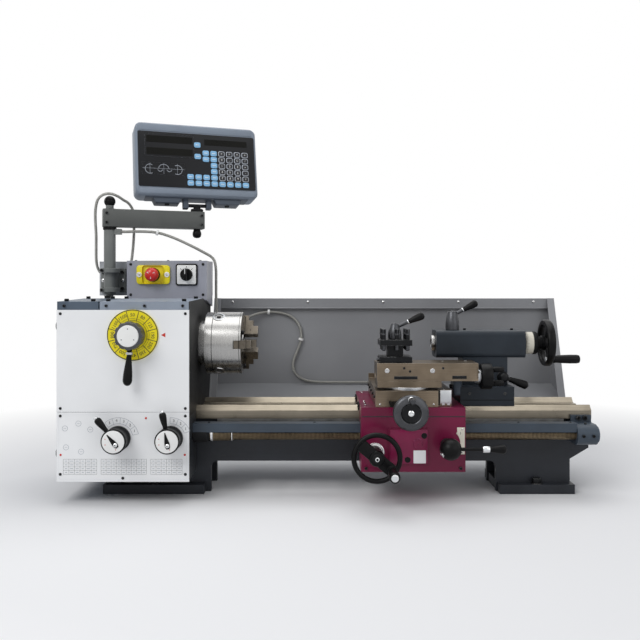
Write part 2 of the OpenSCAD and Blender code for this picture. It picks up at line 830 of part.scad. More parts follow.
module stop_button() {
    y1 = box_front - seat - stop_plate_t;
    color([0.8, 0.1, 0.1]) {
        yrod(stop_stem_d, y1 - stop_travel - seat, box_front + stop_len / 2, box_x0 + stop_x, stop_z);
        ycone(stop_d * hex_share, stop_d, y1 - stop_len, y1 - stop_len + stop_travel, box_x0 + stop_x, stop_z);
        yrod(stop_d, y1 - stop_len + stop_travel, y1 - stop_travel - seat, box_x0 + stop_x, stop_z);
    }
}
module switch_knob() {
    y1 = box_front - 2 * seat - stop_plate_t;
    color([0.08, 0.08, 0.08]) {
        yrod(shaft_d, y1 - switch_bezel, box_front + shaft_d, box_x0 + switch_x, stop_z);
        yrod(switch_knob_d, y1 - switch_bezel, y1, box_x0 + switch_x, stop_z);
        block([box_x0 + switch_x - switch_bezel, y1 - switch_knob_len, stop_z - switch_knob_d / 2 + over],
            [box_x0 + switch_x + switch_bezel, y1 - switch_bezel + over,
            stop_z + switch_knob_d / 2 - over]);
    }
}

// Drive: motor, pulleys, belt and change gears
module motor() {
    x0 = head_x0 + head_gap;
    color([0.2, 0.22, 0.24]) difference() {
        union() {
            xrod(motor_d, x0, x0 + motor_len, motor_y, motor_z);
            block([x0 + motor_len / 4, motor_y - motor_shaft_d, motor_z],
                [x0 + 3 * motor_len / 4, motor_y + motor_shaft_d, bed_h]);
        }
        xrod(motor_shaft_d + 2 * run, x0 - over, x0 + motor_len / 2, motor_y, motor_z);
    }
}
module motor_pulley() {
    color("silver") {
        xrod(motor_shaft_d, belt_x0 - over, head_x0 + motor_len / 2, motor_y, motor_z);
        xrod(motor_pulley_d, belt_x0, belt_x0 + pulley_w, motor_y, motor_z);
    }
}
// Outline of a belt round two wheels of radius a and b, their centres a distance l apart along X
module belt_outline(a, b, l) {
    s = asin((a - b) / l);
    circle(a);
    translate([l, 0]) circle(b);
    polygon([
        a * [sin(s), cos(s)], [l, 0] + b * [sin(s), cos(s)], [l, 0] + b * [sin(s), -cos(s)],
        a * [sin(s), -cos(s)]
    ]);
}
module drive_belt() {
    v = [motor_y, motor_z - spindle_z];
    a = spindle_pulley_d / 2 + seat;
    b = motor_pulley_d / 2 + seat;
    color([0.1, 0.1, 0.1]) section_x(belt_x0 + over, belt_x0 + pulley_w - over)
        translate([0, spindle_z]) rotate(atan2(v[1], v[0])) difference() {
            belt_outline(a + belt_t, b + belt_t, norm(v));
            belt_outline(a, b, norm(v));
        }
}
module idler_gear() {
    color("darkgoldenrod") {
        translate([gear_x0, idler_pos[0], idler_pos[1]]) rotate([90, 0, 90])
            gear(gear_m, idler_teeth, gear_w, idler_stud_d,
                mesh_phase(idler_line, 0, spindle_teeth, idler_teeth));
        xrod(idler_stud_d, gear_x0 - seat, head_x0 + head_end_t, idler_pos[0], idler_pos[1]);
    }
}
module lead_screw() {
    line = screw_line;
    phase = mesh_phase(line, mesh_phase(idler_line, 0, spindle_teeth, idler_teeth), idler_teeth,
        screw_teeth);
    color("silver") {
        translate([gear_x0, -screw_y, screw_z]) rotate([90, 0, 90])
            gear(gear_m, screw_teeth, gear_w, 0, phase);
        xrod(screw_d, gear_x0 - over, bracket_x1 - screw_end, -screw_y, screw_z);
        xrod(sleeve_core, head_x1 + sleeve_len, head_x1 + 2 * sleeve_len, -screw_y, screw_z);
    }
}
sleeve_t = 1.5;
sleeve_core = screw_d + 2 * sleeve_t;

// Spindle, bearings and chuck
module bearing_gap(x) {
    translate([x + bearing_w / 2, 0, spindle_z]) rotate([0, 90, 0]) rotate_extrude()
        translate([(bearing_d / 2 - race_t + spindle_d / 2 + race_t) / 2, 0]) circle(d = ball_d + 4 * run);
}
bearing_xs = [head_x0 + over, head_x1 - over - bearing_w];
module bearing_races() {
    color("silver") for (x = bearing_xs) difference() {
        xrod(bearing_d - 2 * run, x, x + bearing_w, 0, spindle_z);
        xrod(bearing_d - 2 * race_t, x - over, x + bearing_w + over, 0, spindle_z);
        bearing_gap(x);
    }
}
module bearing_balls() {
    mid = (bearing_d + spindle_d) / 4;
    color("silver") for (x = bearing_xs) {
        difference() {
            xrod(spindle_d + 2 * race_t, x, x + bearing_w, 0, spindle_z);
            xrod(spindle_d + 2 * run, x - over, x + bearing_w + over, 0, spindle_z);
            bearing_gap(x);
        }
        for (i = [0:ball_count - 1]) translate([x + bearing_w / 2, 0, spindle_z])
            rotate([i * 360 / ball_count, 0, 0]) translate([0, mid, 0]) sphere(d = ball_d);
    }
}
module spindle() {
    flange_x = head_x1 + seat;
    color("silver") {
        difference() {
            union() {
                xrod(spindle_d, gear_x0 - over, flange_x + flange_t, 0, spindle_z);
                xrod(flange_d, flange_x, flange_x + flange_t, 0, spindle_z);
                translate([gear_x0, 0, spindle_z]) rotate([90, 0, 90])
                    gear(gear_m, spindle_teeth, gear_w, 0, 0);
                xrod(spindle_pulley_d, belt_x0, belt_x0 + pulley_w, 0, spindle_z);
            }
            xrod(spindle_bore, gear_x0 - 2 * over, flange_x + flange_t + over, 0, spindle_z);
        }
    }
}
module around_chuck(i) { translate([0, 0, spindle_z]) rotate([90 + i * 120, 0, 0]) children(); }
module chuck_body() {
    face = chuck_x1;
    color("silver") difference() {
        xrod(chuck_d, chuck_x0, face, 0, spindle_z);
        xrod(chuck_bore, chuck_x0 - over, face + over, 0, spindle_z);
        difference() {
            xrod(scroll_d + 2 * seat, face - jaw_root - scroll_t - 2 * seat, face - jaw_root, 0, spindle_z);
            xrod(chuck_bore + 2 * race_t, chuck_x0, face, 0, spindle_z);
        }
        for (i = [0:2]) around_chuck(i) {
            block([face - jaw_root - over, -jaw_w / 2 - seat, 0], [face + over, jaw_w / 2 + seat, chuck_d]);
            rotate([180, 0, 0])
                zrod(pinion_d + 2 * run, pinion_in, chuck_d, chuck_x0 + pinion_set + pinion_d / 2, 0);
        }
    }
}
module chuck_scroll() {
    x0 = chuck_x1 - jaw_root - scroll_t - seat;
    color("gray") difference() {
        xrod(scroll_d, x0, x0 + scroll_t, 0, spindle_z);
        xrod(chuck_bore + 2 * race_t + 2 * seat, x0 - over, x0 + scroll_t + over, 0, spindle_z);
    }
}
module chuck_pinion() {
    color("silver") for (i = [0:2]) around_chuck(i) rotate([180, 0, 0]) difference() {
        zrod(pinion_d, pinion_in + seat, chuck_d / 2 - over, chuck_x0 + pinion_set + pinion_d / 2, 0);
        block([chuck_x0 + pinion_set + (pinion_d - pinion_key) / 2, -pinion_key / 2, chuck_d / 2 - jaw_root],
            [chuck_x0 + pinion_set + (pinion_d + pinion_key) / 2, pinion_key / 2, chuck_d]);
    }
}
module jaw(i) {
    x0 = chuck_x1 - jaw_root + seat;
    steps = [jaw_in_r, jaw_in_r + (jaw_r - jaw_in_r) * jaw_step_share[0],
        jaw_in_r + (jaw_r - jaw_in_r) * jaw_step_share[1], jaw_r];
    color([0.55, 0.5, 0.42]) around_chuck(i) {
        block([x0, -jaw_w / 2, jaw_in_r], [chuck_x1 + over, jaw_w / 2, jaw_r]);
        for (k = [0:2]) block([chuck_x1, -jaw_w / 2, steps[k] - (k > 0 ? over : 0)],
            [chuck_x1 + jaw_out * jaw_lift_share[k], jaw_w / 2, steps[k + 1]]);
    }
}
module jaw_1() { jaw(0); }
module jaw_2() { jaw(1); }
module jaw_3() { jaw(2); }

// Speed dial and lever, feed knobs
module speed_dial() {
    y1 = -head_front - 2 * seat - sheet_t;
    color([0.96, 0.86, 0.1]) difference() {
        yrod(dial_d, y1 - dial_t, y1, head_x0 + dial_x, dial_z);
        yrod(shaft_d + 2 * run, y1 - dial_t - over, y1 + over, head_x0 + dial_x, dial_z);
    }
}
module fluted(d, y0, y1, x, z) {
        lobe_d = d / 5;
    translate([x, y1, z]) rotate([90, 0, 0]) linear_extrude(y1 - y0) {
        circle(d = d - lobe_d / 2);
        for (i = [0:knob_lobes - 1])
            rotate(i * 360 / knob_lobes) translate([(d - lobe_d) / 2, 0]) circle(d = lobe_d);
    }
}
module speed_lever() {
    x = head_x0 + dial_x;
    y1 = -head_front - 3 * seat - sheet_t - dial_t;
    a = [x, y1 - hub_t - lever_d, dial_z - knob_d / 4];
    dir = [-sin(lever_lean), 0, -cos(lever_lean)];
    color([0.5, 0.5, 0.53]) {
        yrod(shaft_d, y1 - over, -head_front + head_t + shaft_d, x, dial_z);
        yrod(knob_d * knob_share, y1 - hub_t, y1, x, dial_z);
        fluted(knob_d, y1 - hub_t - knob_len, y1 - hub_t + over, x, dial_z);
    }
    color([0.08, 0.08, 0.08]) {
        bar(a, a + (lever_len - grip_len - knob_d / 4 + grip_d) * dir, lever_d, lever_d);
        bar(a + (lever_len - grip_len - knob_d / 4) * dir, a + (lever_len - knob_d / 4) * dir,
            grip_d / 2, grip_d);
    }
}
module feed_knob(x, lean) {
    y1 = -head_front - 2 * seat - sheet_t;
    a = [x, y1 - feed_knob_len * stem_share, feed_knob_z];
    dir = [-sin(lean), 0, cos(lean)];
    color([0.08, 0.08, 0.08]) {
        yrod(shaft_d, y1 - over, -head_front + feed_t + shaft_d / 2, x, feed_knob_z);
        yrod(feed_knob_d, y1 - feed_knob_len, y1, x, feed_knob_z);
        bar(a, a + (feed_knob_d / 2 + feed_grip_len) * dir, feed_grip_d * hub_share, feed_grip_d);
    }
}
module feed_knob_left() { feed_knob(head_x0 + feed_knob_l, feed_lean_l); }
module feed_knob_right() { feed_knob(head_x0 + feed_knob_r, feed_lean_r); }

// Display post, arm, mount and housing
post_x_at = panel_x0 + post_x - 2 * seat;
arm_z0 = post_z1 + seat;
module dro_post() {
    color([0.35, 0.36, 0.38]) {
        zrod(dro_post_d, post_z0, post_z1, post_x_at, post_y);
        zrod(pivot_d, post_z1 - over, arm_z0 + arm_h + seat + over, post_x_at, post_y);
        zrod(ball_knob_d * stem_share, arm_z0 + arm_h + seat, arm_z0 + arm_h + ball_knob_d / 3,
            post_x_at, post_y);
        translate([post_x_at, post_y, arm_z0 + arm_h + ball_knob_d * stem_share]) sphere(d = ball_knob_d);
        zrod(pivot_d * wide_share, post_z0 - pivot_d, post_z0 + over, post_x_at, post_y);
        block([post_x_at, post_y - cable_d, cable_long_route[0][2] - cable_d],
            [cable_long_route[0][0], post_y + cable_d, cable_long_route[0][2] + cable_d]);
        difference() {
            union() {
                block([post_x_at - clamp_w / 2, head_back - clamp_t, clamp_z0],
                    [post_x_at + clamp_w / 2, head_back, clamp_z0 + clamp_h]);
                block([post_x_at - dro_post_d / 2, post_y, clamp_z0],
                    [post_x_at + dro_post_d / 2, head_back - clamp_t + over, clamp_z0 + clamp_h]);
                for (z = [clamp_z0, clamp_z0 + clamp_h - collar_h])
                    zrod(collar_d, z, z + collar_h, post_x_at, post_y);
            }
            zrod(dro_post_d + 2 * run, clamp_z0 - over, clamp_z0 + clamp_h + over, post_x_at, post_y);
        }
    }
}
module on_arm() { translate([post_x_at, post_y, arm_z0]) rotate([0, 0, arm_yaw]) children(); }
module dro_arm() {
    color([0.36, 0.37, 0.35]) on_arm() difference() {
        block([-arm_w / 2, -arm_w / 2, 0], [arm_len + arm_w / 2, arm_w / 2, arm_h]);
        for (x = [0, arm_len]) zrod(pivot_d + 2 * run, -over, arm_h + over, x, 0);
    }
}
tilt_z = arm_h + mount_h;
tilt_pin_d = 8;
lug_w = 12;
module dro_mount() {
    color([0.08, 0.08, 0.08]) on_arm() translate([arm_len, 0, 0]) {
        zrod(pivot_d, -2 * seat - over, arm_h + 2 * seat, 0, 0);
        zrod(pivot_d * wide_share, -mount_d / 2, -seat, 0, 0);
        translate([0, 0, -mount_d / 2]) sphere(d = mount_d);
        zrod(mount_d * wide_share, arm_h + seat, arm_h + mount_h / 2, 0, 0);
        zrod(mount_d * neck_share, arm_h + seat, tilt_z, 0, 0);
        xrod(tilt_pin_d, -mount_d - lug_w, mount_d + lug_w, 0, tilt_z);
    }
}
module dro_place() {
    on_arm() translate([arm_len, 0, tilt_z]) rotate([-dro_lean, 0, 0]) children();
}
module dro_housing() {
    z0 = tilt_pin_d + foot_h / 2;
    color([0.38, 0.42, 0.5]) dro_place() difference() {
        union() {
            section_y(-dro_d / 2, dro_d / 2) translate([-dro_w / 2, z0]) round_rect(dro_w, dro_h, dro_r);
            for (s = [-1, 1]) {
                block([s * dro_w / 4 - foot_w / 2, -dro_d / 3, z0 - foot_h], [s * dro_w / 4 + foot_w / 2,
                    dro_d / 3, z0 + over]);
                block([s * (mount_d + lug_w / 2) - lug_w / 2, -tilt_pin_d, -tilt_pin_d],
                    [s * (mount_d + lug_w / 2) + lug_w / 2, tilt_pin_d, z0 + over]);
            }
        }
        xrod(tilt_pin_d + 2 * run, -mount_d - 2 * lug_w, mount_d + 2 * lug_w, 0, 0);
    }
}
module dro_key(x, z) {
    y1 = -dro_d / 2 - seat / 3 - dro_panel_t - seat / 3;
    block([x - key_w / 2, y1 - key_t, z - key_h / 2], [x + key_w / 2, y1, z + key_h / 2]);
}
module dro_panel() {
    z0 = tilt_pin_d + foot_h / 2 + dro_lift;
    x0 = -dro_w / 2 + dro_side;
    y1 = -dro_d / 2 - seat / 3;
    z1 = z0 + dro_h - dro_lift - dro_margin;
    color([0.08, 0.08, 0.09]) dro_place() difference() {
        block([x0, y1 - dro_panel_t, z0], [-x0, y1, z1]);
        block([x0 + window_in, y1 - dro_panel_t - over, z1 - window_drop - window_h],
            [x0 + window_in + window_w, y1 - dro_panel_t / 2, z1 - window_drop]);
        block([-x0 - window_in - slot_w, y1 - dro_panel_t - over, z1 - slot_drop - slot_h],
            [-x0 - window_in, y1 - dro_panel_t / 2, z1 - slot_drop]);
    }
    color([0.5, 0.68, 0.82]) dro_place() {
        for (i = [-2:key_cols - 1], k = [0:key_rows - 1]) if (k < 2 || i > 0 || (i == 0 && k > 3))
            dro_key(key_x + i * key_pitch_x, z0 + key_z + k * key_pitch_z);
        for (k = [key_rows - 2, key_rows]) dro_key(0, z0 + key_z + k * key_pitch_z);
    }
}

// Splash guard, lead screw cover and end bracket
bracket_x1 = bed_x1 - head_gap;
bracket_x0 = bracket_x1 - bracket_w;
bracket_front = bed_w / 2 + bolt_d;
module splash_guard() {
    x0 = guard_x0 + seat;
    t = guard_t;
    color([0.45, 0.45, 0.46]) {
        section_x(x0, guard_x1) {
            strip([bed_w / 2 + seat + t / 2, guard_foot_z], [guard_foot_y, guard_foot_z], t);
            strip([guard_foot_y, guard_foot_z], [guard_back, guard_fold_z], t);
            strip([guard_back, guard_fold_z], [guard_back, guard_top - t / 2], t);
            strip([guard_back, guard_top - t / 2], [guard_back - guard_lip_out, guard_top - t / 2], t);
            strip([guard_back - guard_lip_out, guard_top - t / 2],
                [guard_back - guard_lip_out, guard_top - guard_lip], t);
        }
        for (x = [x0, guard_x1 - t]) section_x(x, x + t) polygon([
            [guard_foot_y, guard_foot_z - t / 2], [guard_back + t / 2, guard_fold_z - t / 2],
            [guard_back + t / 2, guard_top], [guard_back - guard_lip_out - t, guard_top],
            [guard_wing_y, bed_h + over], [guard_foot_y, guard_foot_z + t / 2]
        ]);
        for (x = [x0, guard_x1 - guard_wing_in]) section_x(x, x + guard_wing_in)
            strip([guard_wing_y + t, bed_h + t], [guard_back - guard_lip_out - t, guard_top - t / 2], t);
    }
}
module screw_cover() {
    y0 = -screw_y - screw_cover_front;
    z1 = screw_z + screw_cover_rise;
    t = screw_cover_t;
    color([0.3, 0.35, 0.42]) {
        block([head_x1 + seat, y0, z1 - screw_cover_lip], [bracket_x0 - seat, y0 + t, z1]);
        block([head_x1 + seat, y0, z1 - t], [bracket_x0 - seat, -screw_y + screw_cover_back, z1]);
    }
}
module end_bracket() {
    color([0.3, 0.35, 0.42]) difference() {
        union() {
            xrod(bracket_boss, bracket_x0, bracket_x1, -screw_y, screw_z);
            block([bracket_x0, -screw_y, screw_z - bracket_boss / 2],
                [bracket_x1, -web_y - seat, screw_z + bracket_boss / 2]);
            block([bracket_x0, -bracket_front, screw_z], [bracket_x1, -bed_w / 2 - seat, way_z + rail_h / 2]);
        }
        xrod(screw_d + 2 * run, bracket_x0 - over, bracket_x1 + over, -screw_y, screw_z);
    }
}

// Cables and their ties
module cable_long() { color([0.5, 0.5, 0.46]) swept(cable_long_route, cable_d, cable_sides); }
module cable_loops() { color([0.5, 0.5, 0.46]) swept(cable_loop_route, cable_d, cable_sides); }
module tie_at(p, q) {
    v = unit(q - p);
    translate(p) rotate([0, acos(v[2]), atan2(v[1], v[0])]) difference() {
        cylinder(h = tie_w, d = cable_d + 2 * tie_t + 6 * seat, center = true);
        cylinder(h = tie_w + over, d = cable_d + 6 * seat, center = true);
    }
}
module cable_ties() {
    route = cable_long_route;
    end = route[len(route) - 1];
    color([0.92, 0.92, 0.92]) {
        for (i = ties_at) tie_at(route[i], route[i + 1]);
        tie_at(route[clip_at], route[clip_at + 1]);
        block([route[clip_at][0] - tie_w, route[clip_at][1] + cable_d / 2 + 3 * seat, route[clip_at][2]
            - tie_w / 2], [route[clip_at][0] + tie_w, guard_back - guard_t / 2 - seat,
            route[clip_at][2] + tie_w / 2]);
        block([end[0], end[1] - cable_d, end[2] - tie_w / 2],
            [end[0] + tie_w, guard_back - guard_t / 2 - seat, end[2] + tie_w / 2]);
    }
}
clip_at = 21;
ties_at = [3, 17];

// Carriage: saddle, apron, handwheel, rack pinion, half nut and its lever
cross_mid = car_x0 + cross_x + cross_w / 2 - over;
wheel_x = car_x0 + apron_wheel_x;
gear_span = rack_m * (bull_teeth + wheel_teeth) / 2;
pinion_x = wheel_x + sqrt(gear_span * gear_span - pow(pinion_z - apron_wheel_z, 2));
bull_y = apron_back + 2 * bull_w + seat;
nut_x = car_x0 + nut_lever_x;
cross_screw_z = bed_h + vee_h + cross_screw_rise;
module saddle() {
    z0 = bed_h + seat;
    color([0.36, 0.05, 0.16]) difference() {
        union() {
            block([car_x0, -saddle_front, z0], [car_x1, saddle_back, saddle_z1]);
            section_y(-saddle_front, saddle_back)
                translate([cross_mid, saddle_z1]) dovetail(tail_w, tail_slope / 2, tail_t, 0);
        }
        ways_cut(car_x0, car_x1);
        yrod(cross_screw_d + 2 * run, -saddle_front - over, saddle_back + over, cross_mid, cross_screw_z);
        block([cross_mid - nut_half / 2 - seat, -nut_reach, bed_h + vee_h + over],
            [cross_mid + nut_half / 2 + seat, nut_reach, saddle_z1 + 2 * tail_t]);
        block([car_x0 - over, -bed_w / 2 + rail_w, z0 - over], [car_x1 + over, bed_w / 2 - rail_w,
            z0 + seat]);
    }
}
nut_reach = bed_w / 2 + nut_drop;
module apron() {
    top = bed_h;
    inner = [car_x0 + apron_t, car_x1 - apron_t];
    back = -apron_back - bull_w;
    color([0.4, 0.05, 0.16]) {
        difference() {
            block([car_x0, -apron_front, apron_low], [car_x1, -apron_back, top]);
            block([inner[0], -apron_front + apron_t, apron_low + apron_t], [inner[1], back, top + over]);
            xrod(screw_d + 2 * lug_t, car_x0 - over, car_x1 + over, -screw_y, screw_z);
            block([car_x0 - over, -screw_y - screw_cover_front - lug_t / 2, screw_z],
                [car_x1 + over, -screw_y + screw_cover_back + lug_t / 2, screw_z + screw_cover_rise + lug_t / 2]);
            yrod(apron_shaft_d + 2 * run, -apron_front - over, -apron_back + over, wheel_x, apron_wheel_z);
            yrod(apron_shaft_d + 2 * run, back - over, -apron_back + over, pinion_x, pinion_z);
            yrod(shaft_d + 2 * run, -apron_front - over, -apron_front + apron_t + over, nut_x, nut_lever_z);
        }
        block([car_x0 + plate_x, -apron_front - lug_t - seat / 3, apron_low + plate_up],
            [car_x0 + plate_x + plate_w, -apron_front - seat / 3, apron_low + plate_up + plate_h]);
    }
}
module apron_wheel() {
    y = -apron_wheel_y;
    color([0.5, 0.5, 0.52]) {
        difference() {
            yrod(apron_wheel_d, y - rim_d / 2, y + rim_d / 2, wheel_x, apron_wheel_z);
            yrod(apron_wheel_d - 2 * rim_d, y - rim_d, y + rim_d, wheel_x, apron_wheel_z);
        }
        yrod(hub_d, y - rim_d, -apron_front - 3 * seat, wheel_x, apron_wheel_z);
        translate([wheel_x, y, apron_wheel_z]) rotate([0, wrench_deg, 0])
            block([-apron_wheel_d / 2 + rim_d / 2, -rim_d / 3, -rim_d * hub_share],
            [apron_wheel_d / 2 - rim_d / 2, rim_d / 3, rim_d * hub_share]);
        yrod(apron_shaft_d, y, -apron_back - seat, wheel_x, apron_wheel_z);
        translate([wheel_x, -bull_y + bull_w, apron_wheel_z]) rotate([90, 0, 0])
            gear(rack_m, wheel_teeth, bull_w, 0, wheel_phase);
    }
    color([0.08, 0.08, 0.08]) translate([wheel_x, y - rim_d / 2, apron_wheel_z]) rotate([0, wrench_deg, 0])
        translate([apron_wheel_d / 2 - rim_d, 0, 0]) yrod(crank_d, -crank_len - rim_d, over, 0, 0);
}
bull_line = atan2(apron_wheel_z - pinion_z, wheel_x - pinion_x);
wheel_phase = mesh_phase(bull_line, 0, bull_teeth, wheel_teeth);
module rack_pinion() {
    tooth_x = rack_x0 + rack_m * PI / 2 - pinion_x;
    phase = 90 - tooth_x / pinion_r * 180 / PI + 180 / pinion_teeth;
    color("gray") translate([pinion_x, 0, pinion_z]) {
        translate([0, -bull_y + bull_w, 0]) rotate([90, 0, 0]) gear(rack_m, bull_teeth, bull_w, 0, 0);
        translate([0, rack_y + rack_w, 0]) rotate([90, 0, 0]) gear(rack_m, pinion_teeth, rack_w, 0, phase);
        yrod(apron_shaft_d, -bull_y, rack_y + rack_w, 0, 0);
    }
}
module nut_lever() {
    y = -apron_front - nut_lever_out;
    a = [nut_x, y, nut_lever_z];
    color([0.08, 0.08, 0.08]) {
        yrod(shaft_d, y, -apron_front + apron_t - seat, nut_x, nut_lever_z);
        translate(a) rotate([0, 0, nut_seam_deg]) sphere(d = nut_ball_d);
        bar(a, a + [nut_lever_len, 0, 0], lever_d * neck_share, lever_d * neck_share);
        bar(a + [nut_lever_len - grip_len / 2, 0, 0], a + [nut_lever_len, 0, 0], grip_d * stem_share, grip_d);
    }
}
nut_lever_out = 45;
nut_seam_deg = 225;
module half_nut() {
    axis = screw_z - nut_open;
    color("darkgoldenrod") difference() {
        block([nut_x - nut_len / 2, -apron_front + apron_t + seat, axis - nut_drop],
            [nut_x + nut_len / 2, -screw_y + nut_half, axis]);
        xrod(screw_d + 2 * run, nut_x - nut_len, nut_x + nut_len, -screw_y, axis);
    }
}

// Cross slide with its nut, feed screw and handwheel
module cross_slide() {
    z0 = saddle_z1 + seat;
    z1 = z0 + cross_t - seat;
    x0 = cross_mid - cross_w / 2;
    x1 = cross_mid + cross_w / 2;
    color([0.6, 0.55, 0.48]) difference() {
        union() {
            difference() {
                block([x0, -cross_front, z0], [x1, cross_back, z1]);
                section_y(-cross_front - over, cross_back + over)
                    translate([cross_mid, saddle_z1]) dovetail(tail_w, tail_slope / 2, tail_t, seat);
            }
            block([cross_mid - nut_half / 2, -nut_half, cross_screw_z - cross_screw_d / 2 + over / 2],
                [cross_mid + nut_half / 2, nut_half, z0 + tail_t + over]);
        }
        yrod(cross_screw_d + 2 * run, -nut_half - over, nut_half + over, cross_mid, cross_screw_z);
        zrod(swivel_pin_d + 2 * run, z1 - tail_t, z1 + over, car_x0 + swivel_x, -swivel_y);
    }
    color([0.75, 0.76, 0.78])
        block([x1 + seat / 3, -cross_front + chip_plate_up, saddle_z1 + seat],
            [x1 + seat / 3 + scale_w, -cross_front + chip_plate_up + scale_len, z0 + scale_h]);
    color([0.1, 0.1, 0.1]) block([x0, cross_back + seat / 3, z0 + tail_t + seat],
        [x1, cross_back + chip_plate_t, z1 + chip_plate_up]);
}
module cross_wheel() {
    x = cross_mid;
    y = -cross_wheel_y;
    z = cross_screw_z;
    color([0.3, 0.3, 0.32]) {
        yrod(cross_wheel_d, y, y + cross_wheel_t, x, z);
        yrod(cross_dial_d, -cross_dial_y, -saddle_front - seat, x, z);
        yrod(hub_d, y - rim_d / 2, -cross_dial_y + over, x, z);
        yrod(cross_screw_d, y, saddle_back - rim_d, x, z);
        yrod(cross_grip_d, y - cross_grip_len, y + over, x, z + cross_wheel_d / 2 - cross_grip_d);
    }
}

// Top slide on its swivel base, with screw, handwheel, tool post and lever
swivel_z0 = saddle_z1 + cross_t + seat;
base_z1 = swivel_z0 + swivel_t + base_t;
top_z1 = base_z1 + top_t;
pivot = [car_x0 + swivel_x, -swivel_y];
top_x0 = car_x0 + top_x;
top_y0 = -swivel_y - top_front;
top_screw_z = base_z1 + tail_t / 2;
module swivel_base() {
    color([0.62, 0.6, 0.55]) {
        zrod(swivel_d, swivel_z0, swivel_z0 + swivel_t, pivot[0], pivot[1]);
        zrod(swivel_pin_d, swivel_z0 - tail_t + seat + over, swivel_z0 + over, pivot[0], pivot[1]);
        difference() {
            union() {
                block([pivot[0] - base_len / 2, top_y0, swivel_z0 + swivel_t - over],
                    [pivot[0] + base_len / 2, top_y0 + top_w, base_z1]);
                section_x(pivot[0] - base_len / 2, pivot[0] + base_len / 2)
                    translate([top_y0 + top_w / 2, base_z1]) dovetail(tail_w / 2, tail_slope / 2, tail_t, 0);
            }
            xrod(top_screw_d + 2 * run, pivot[0] - base_len, pivot[0] + base_len, top_y0 + top_w / 2,
                top_screw_z);
        }
    }
}
module top_slide() {
    z0 = base_z1 + seat;
    x1 = top_x0 + top_len;
    x_post = car_x0 + post_x0 + post_w / 2;
    color([0.6, 0.55, 0.48]) {
        difference() {
            block([top_x0, top_y0, z0], [x1, top_y0 + top_w, top_z1]);
            section_x(top_x0 - over, x1 - rim_d) translate([top_y0 + top_w / 2, base_z1])
                dovetail(tail_w / 2, tail_slope / 2, tail_t, seat);
            xrod(top_screw_d + 2 * run, x1 - 2 * rim_d, x1 + over, top_y0 + top_w / 2, top_screw_z);
        }
        zrod(post_stud_d, top_z1 - over, top_z1 + 2 * post_flange + post_slot, x_post, pivot[1] - 2 * seat);
    }
}
module top_wheel() {
    x1 = top_x0 + top_len;
    y = top_y0 + top_w / 2;
    color([0.08, 0.08, 0.08]) {
        xcone(top_wheel_d * stem_share, top_wheel_d, x1 + rim_d, x1 + rim_d + top_wheel_t, y, top_screw_z);
        xrod(hub_d, x1 + seat, x1 + rim_d + over, y, top_screw_z);
        xrod(top_screw_d, pivot[0] - base_len / 3, x1 + rim_d, y, top_screw_z);
        xrod(top_grip_d, x1 + rim_d + top_wheel_t - over, x1 + rim_d + top_wheel_t + top_grip_len,
            y, top_screw_z + top_wheel_d / 2 - top_grip_d);
    }
}
module tool_post() {
    x = car_x0 + post_x0 + post_w / 2;
    y = pivot[1] - 2 * seat;
    z = top_z1 + seat;
    w = post_w / 2;
    core = post_core / 2;
    color([0.12, 0.12, 0.13]) {
        difference() {
            union() {
                block([x - w, y - w, z], [x + w, y + w, z + post_flange]);
                block([x - core, y - core, z], [x + core, y + core, z + post_flange + post_slot + over]);
                block([x - w, y - w, z + post_flange + post_slot],
                    [x + w, y + w, z + 2 * post_flange + post_slot]);
            }
            zrod(post_stud_d + 2 * run, z - over, z + 3 * post_flange + post_slot, x, y);
        }
        for (a = [0:90:270], s = post_bolt_shares) translate([x, y, z + 2 * post_flange + post_slot - over])
            rotate(a) translate([w - post_bolt_d, s * (w - post_bolt_d), 0])
                cylinder(h = post_bolt_up, d = post_bolt_d);
    }
}
module post_lever() {
    x = car_x0 + post_x0 + post_w / 2;
    y = pivot[1] - 2 * seat;
    z = top_z1 + 2 * seat + 2 * post_flange + post_slot;
    a = [x, y, z + post_hub_h - lever_d];
    dir = [cos(post_lean), 0, sin(post_lean)];
    color([0.12, 0.12, 0.13]) {
        translate([x, y, z]) cylinder(h = post_hub_h, d1 = post_hub_d, d2 = post_hub_d * hub_share);
        bar(a, a + post_lever_len * dir, lever_d * neck_share, lever_d * neck_share);
        bar(a + (post_lever_len - grip_len / 2) * dir, a + post_lever_len * dir,
            grip_d * grip_neck_share, grip_d * neck_share);
    }
}

// Tailstock, quill, handwheel and levers
tail_x0 = car_x1 + tail_gap;
barrel_x0 = tail_x0 - barrel_set;
barrel_x1 = barrel_x0 + barrel_len;
barrel_up = barrel_w * neck_share / 2;
module tailstock() {
    z0 = bed_h + seat;
    color([0.2, 0.22, 0.27]) difference() {
        union() {
            block([tail_x0, -tail_foot_w / 2, z0], [tail_x0 + tail_foot_len, tail_foot_w / 2,
                bed_h + tail_foot_h]);
            block([tail_x0 + tail_neck_x, -tail_neck_w / 2, bed_h + tail_foot_h - over],
                [tail_x0 + tail_neck_x + tail_neck_len, tail_neck_w / 2, spindle_z]);
            section_x(barrel_x0, barrel_x1) translate([-barrel_w / 2, spindle_z - barrel_low])
                round_rect(barrel_w, barrel_low + barrel_up, barrel_r);
        }
        ways_cut(tail_x0, tail_x0 + tail_foot_len);
        xrod(quill_d + 2 * run, barrel_x0 - over, barrel_x1 - tail_dial_t, 0, spindle_z);
        xrod(tail_screw_d + 2 * run, barrel_x0, barrel_x1 + over, 0, spindle_z);
        zrod(lever_d + 2 * run, spindle_z + barrel_up - lock_stud - seat, spindle_z + barrel_up + over,
            barrel_x0 + lock_x, 0);
    }
}
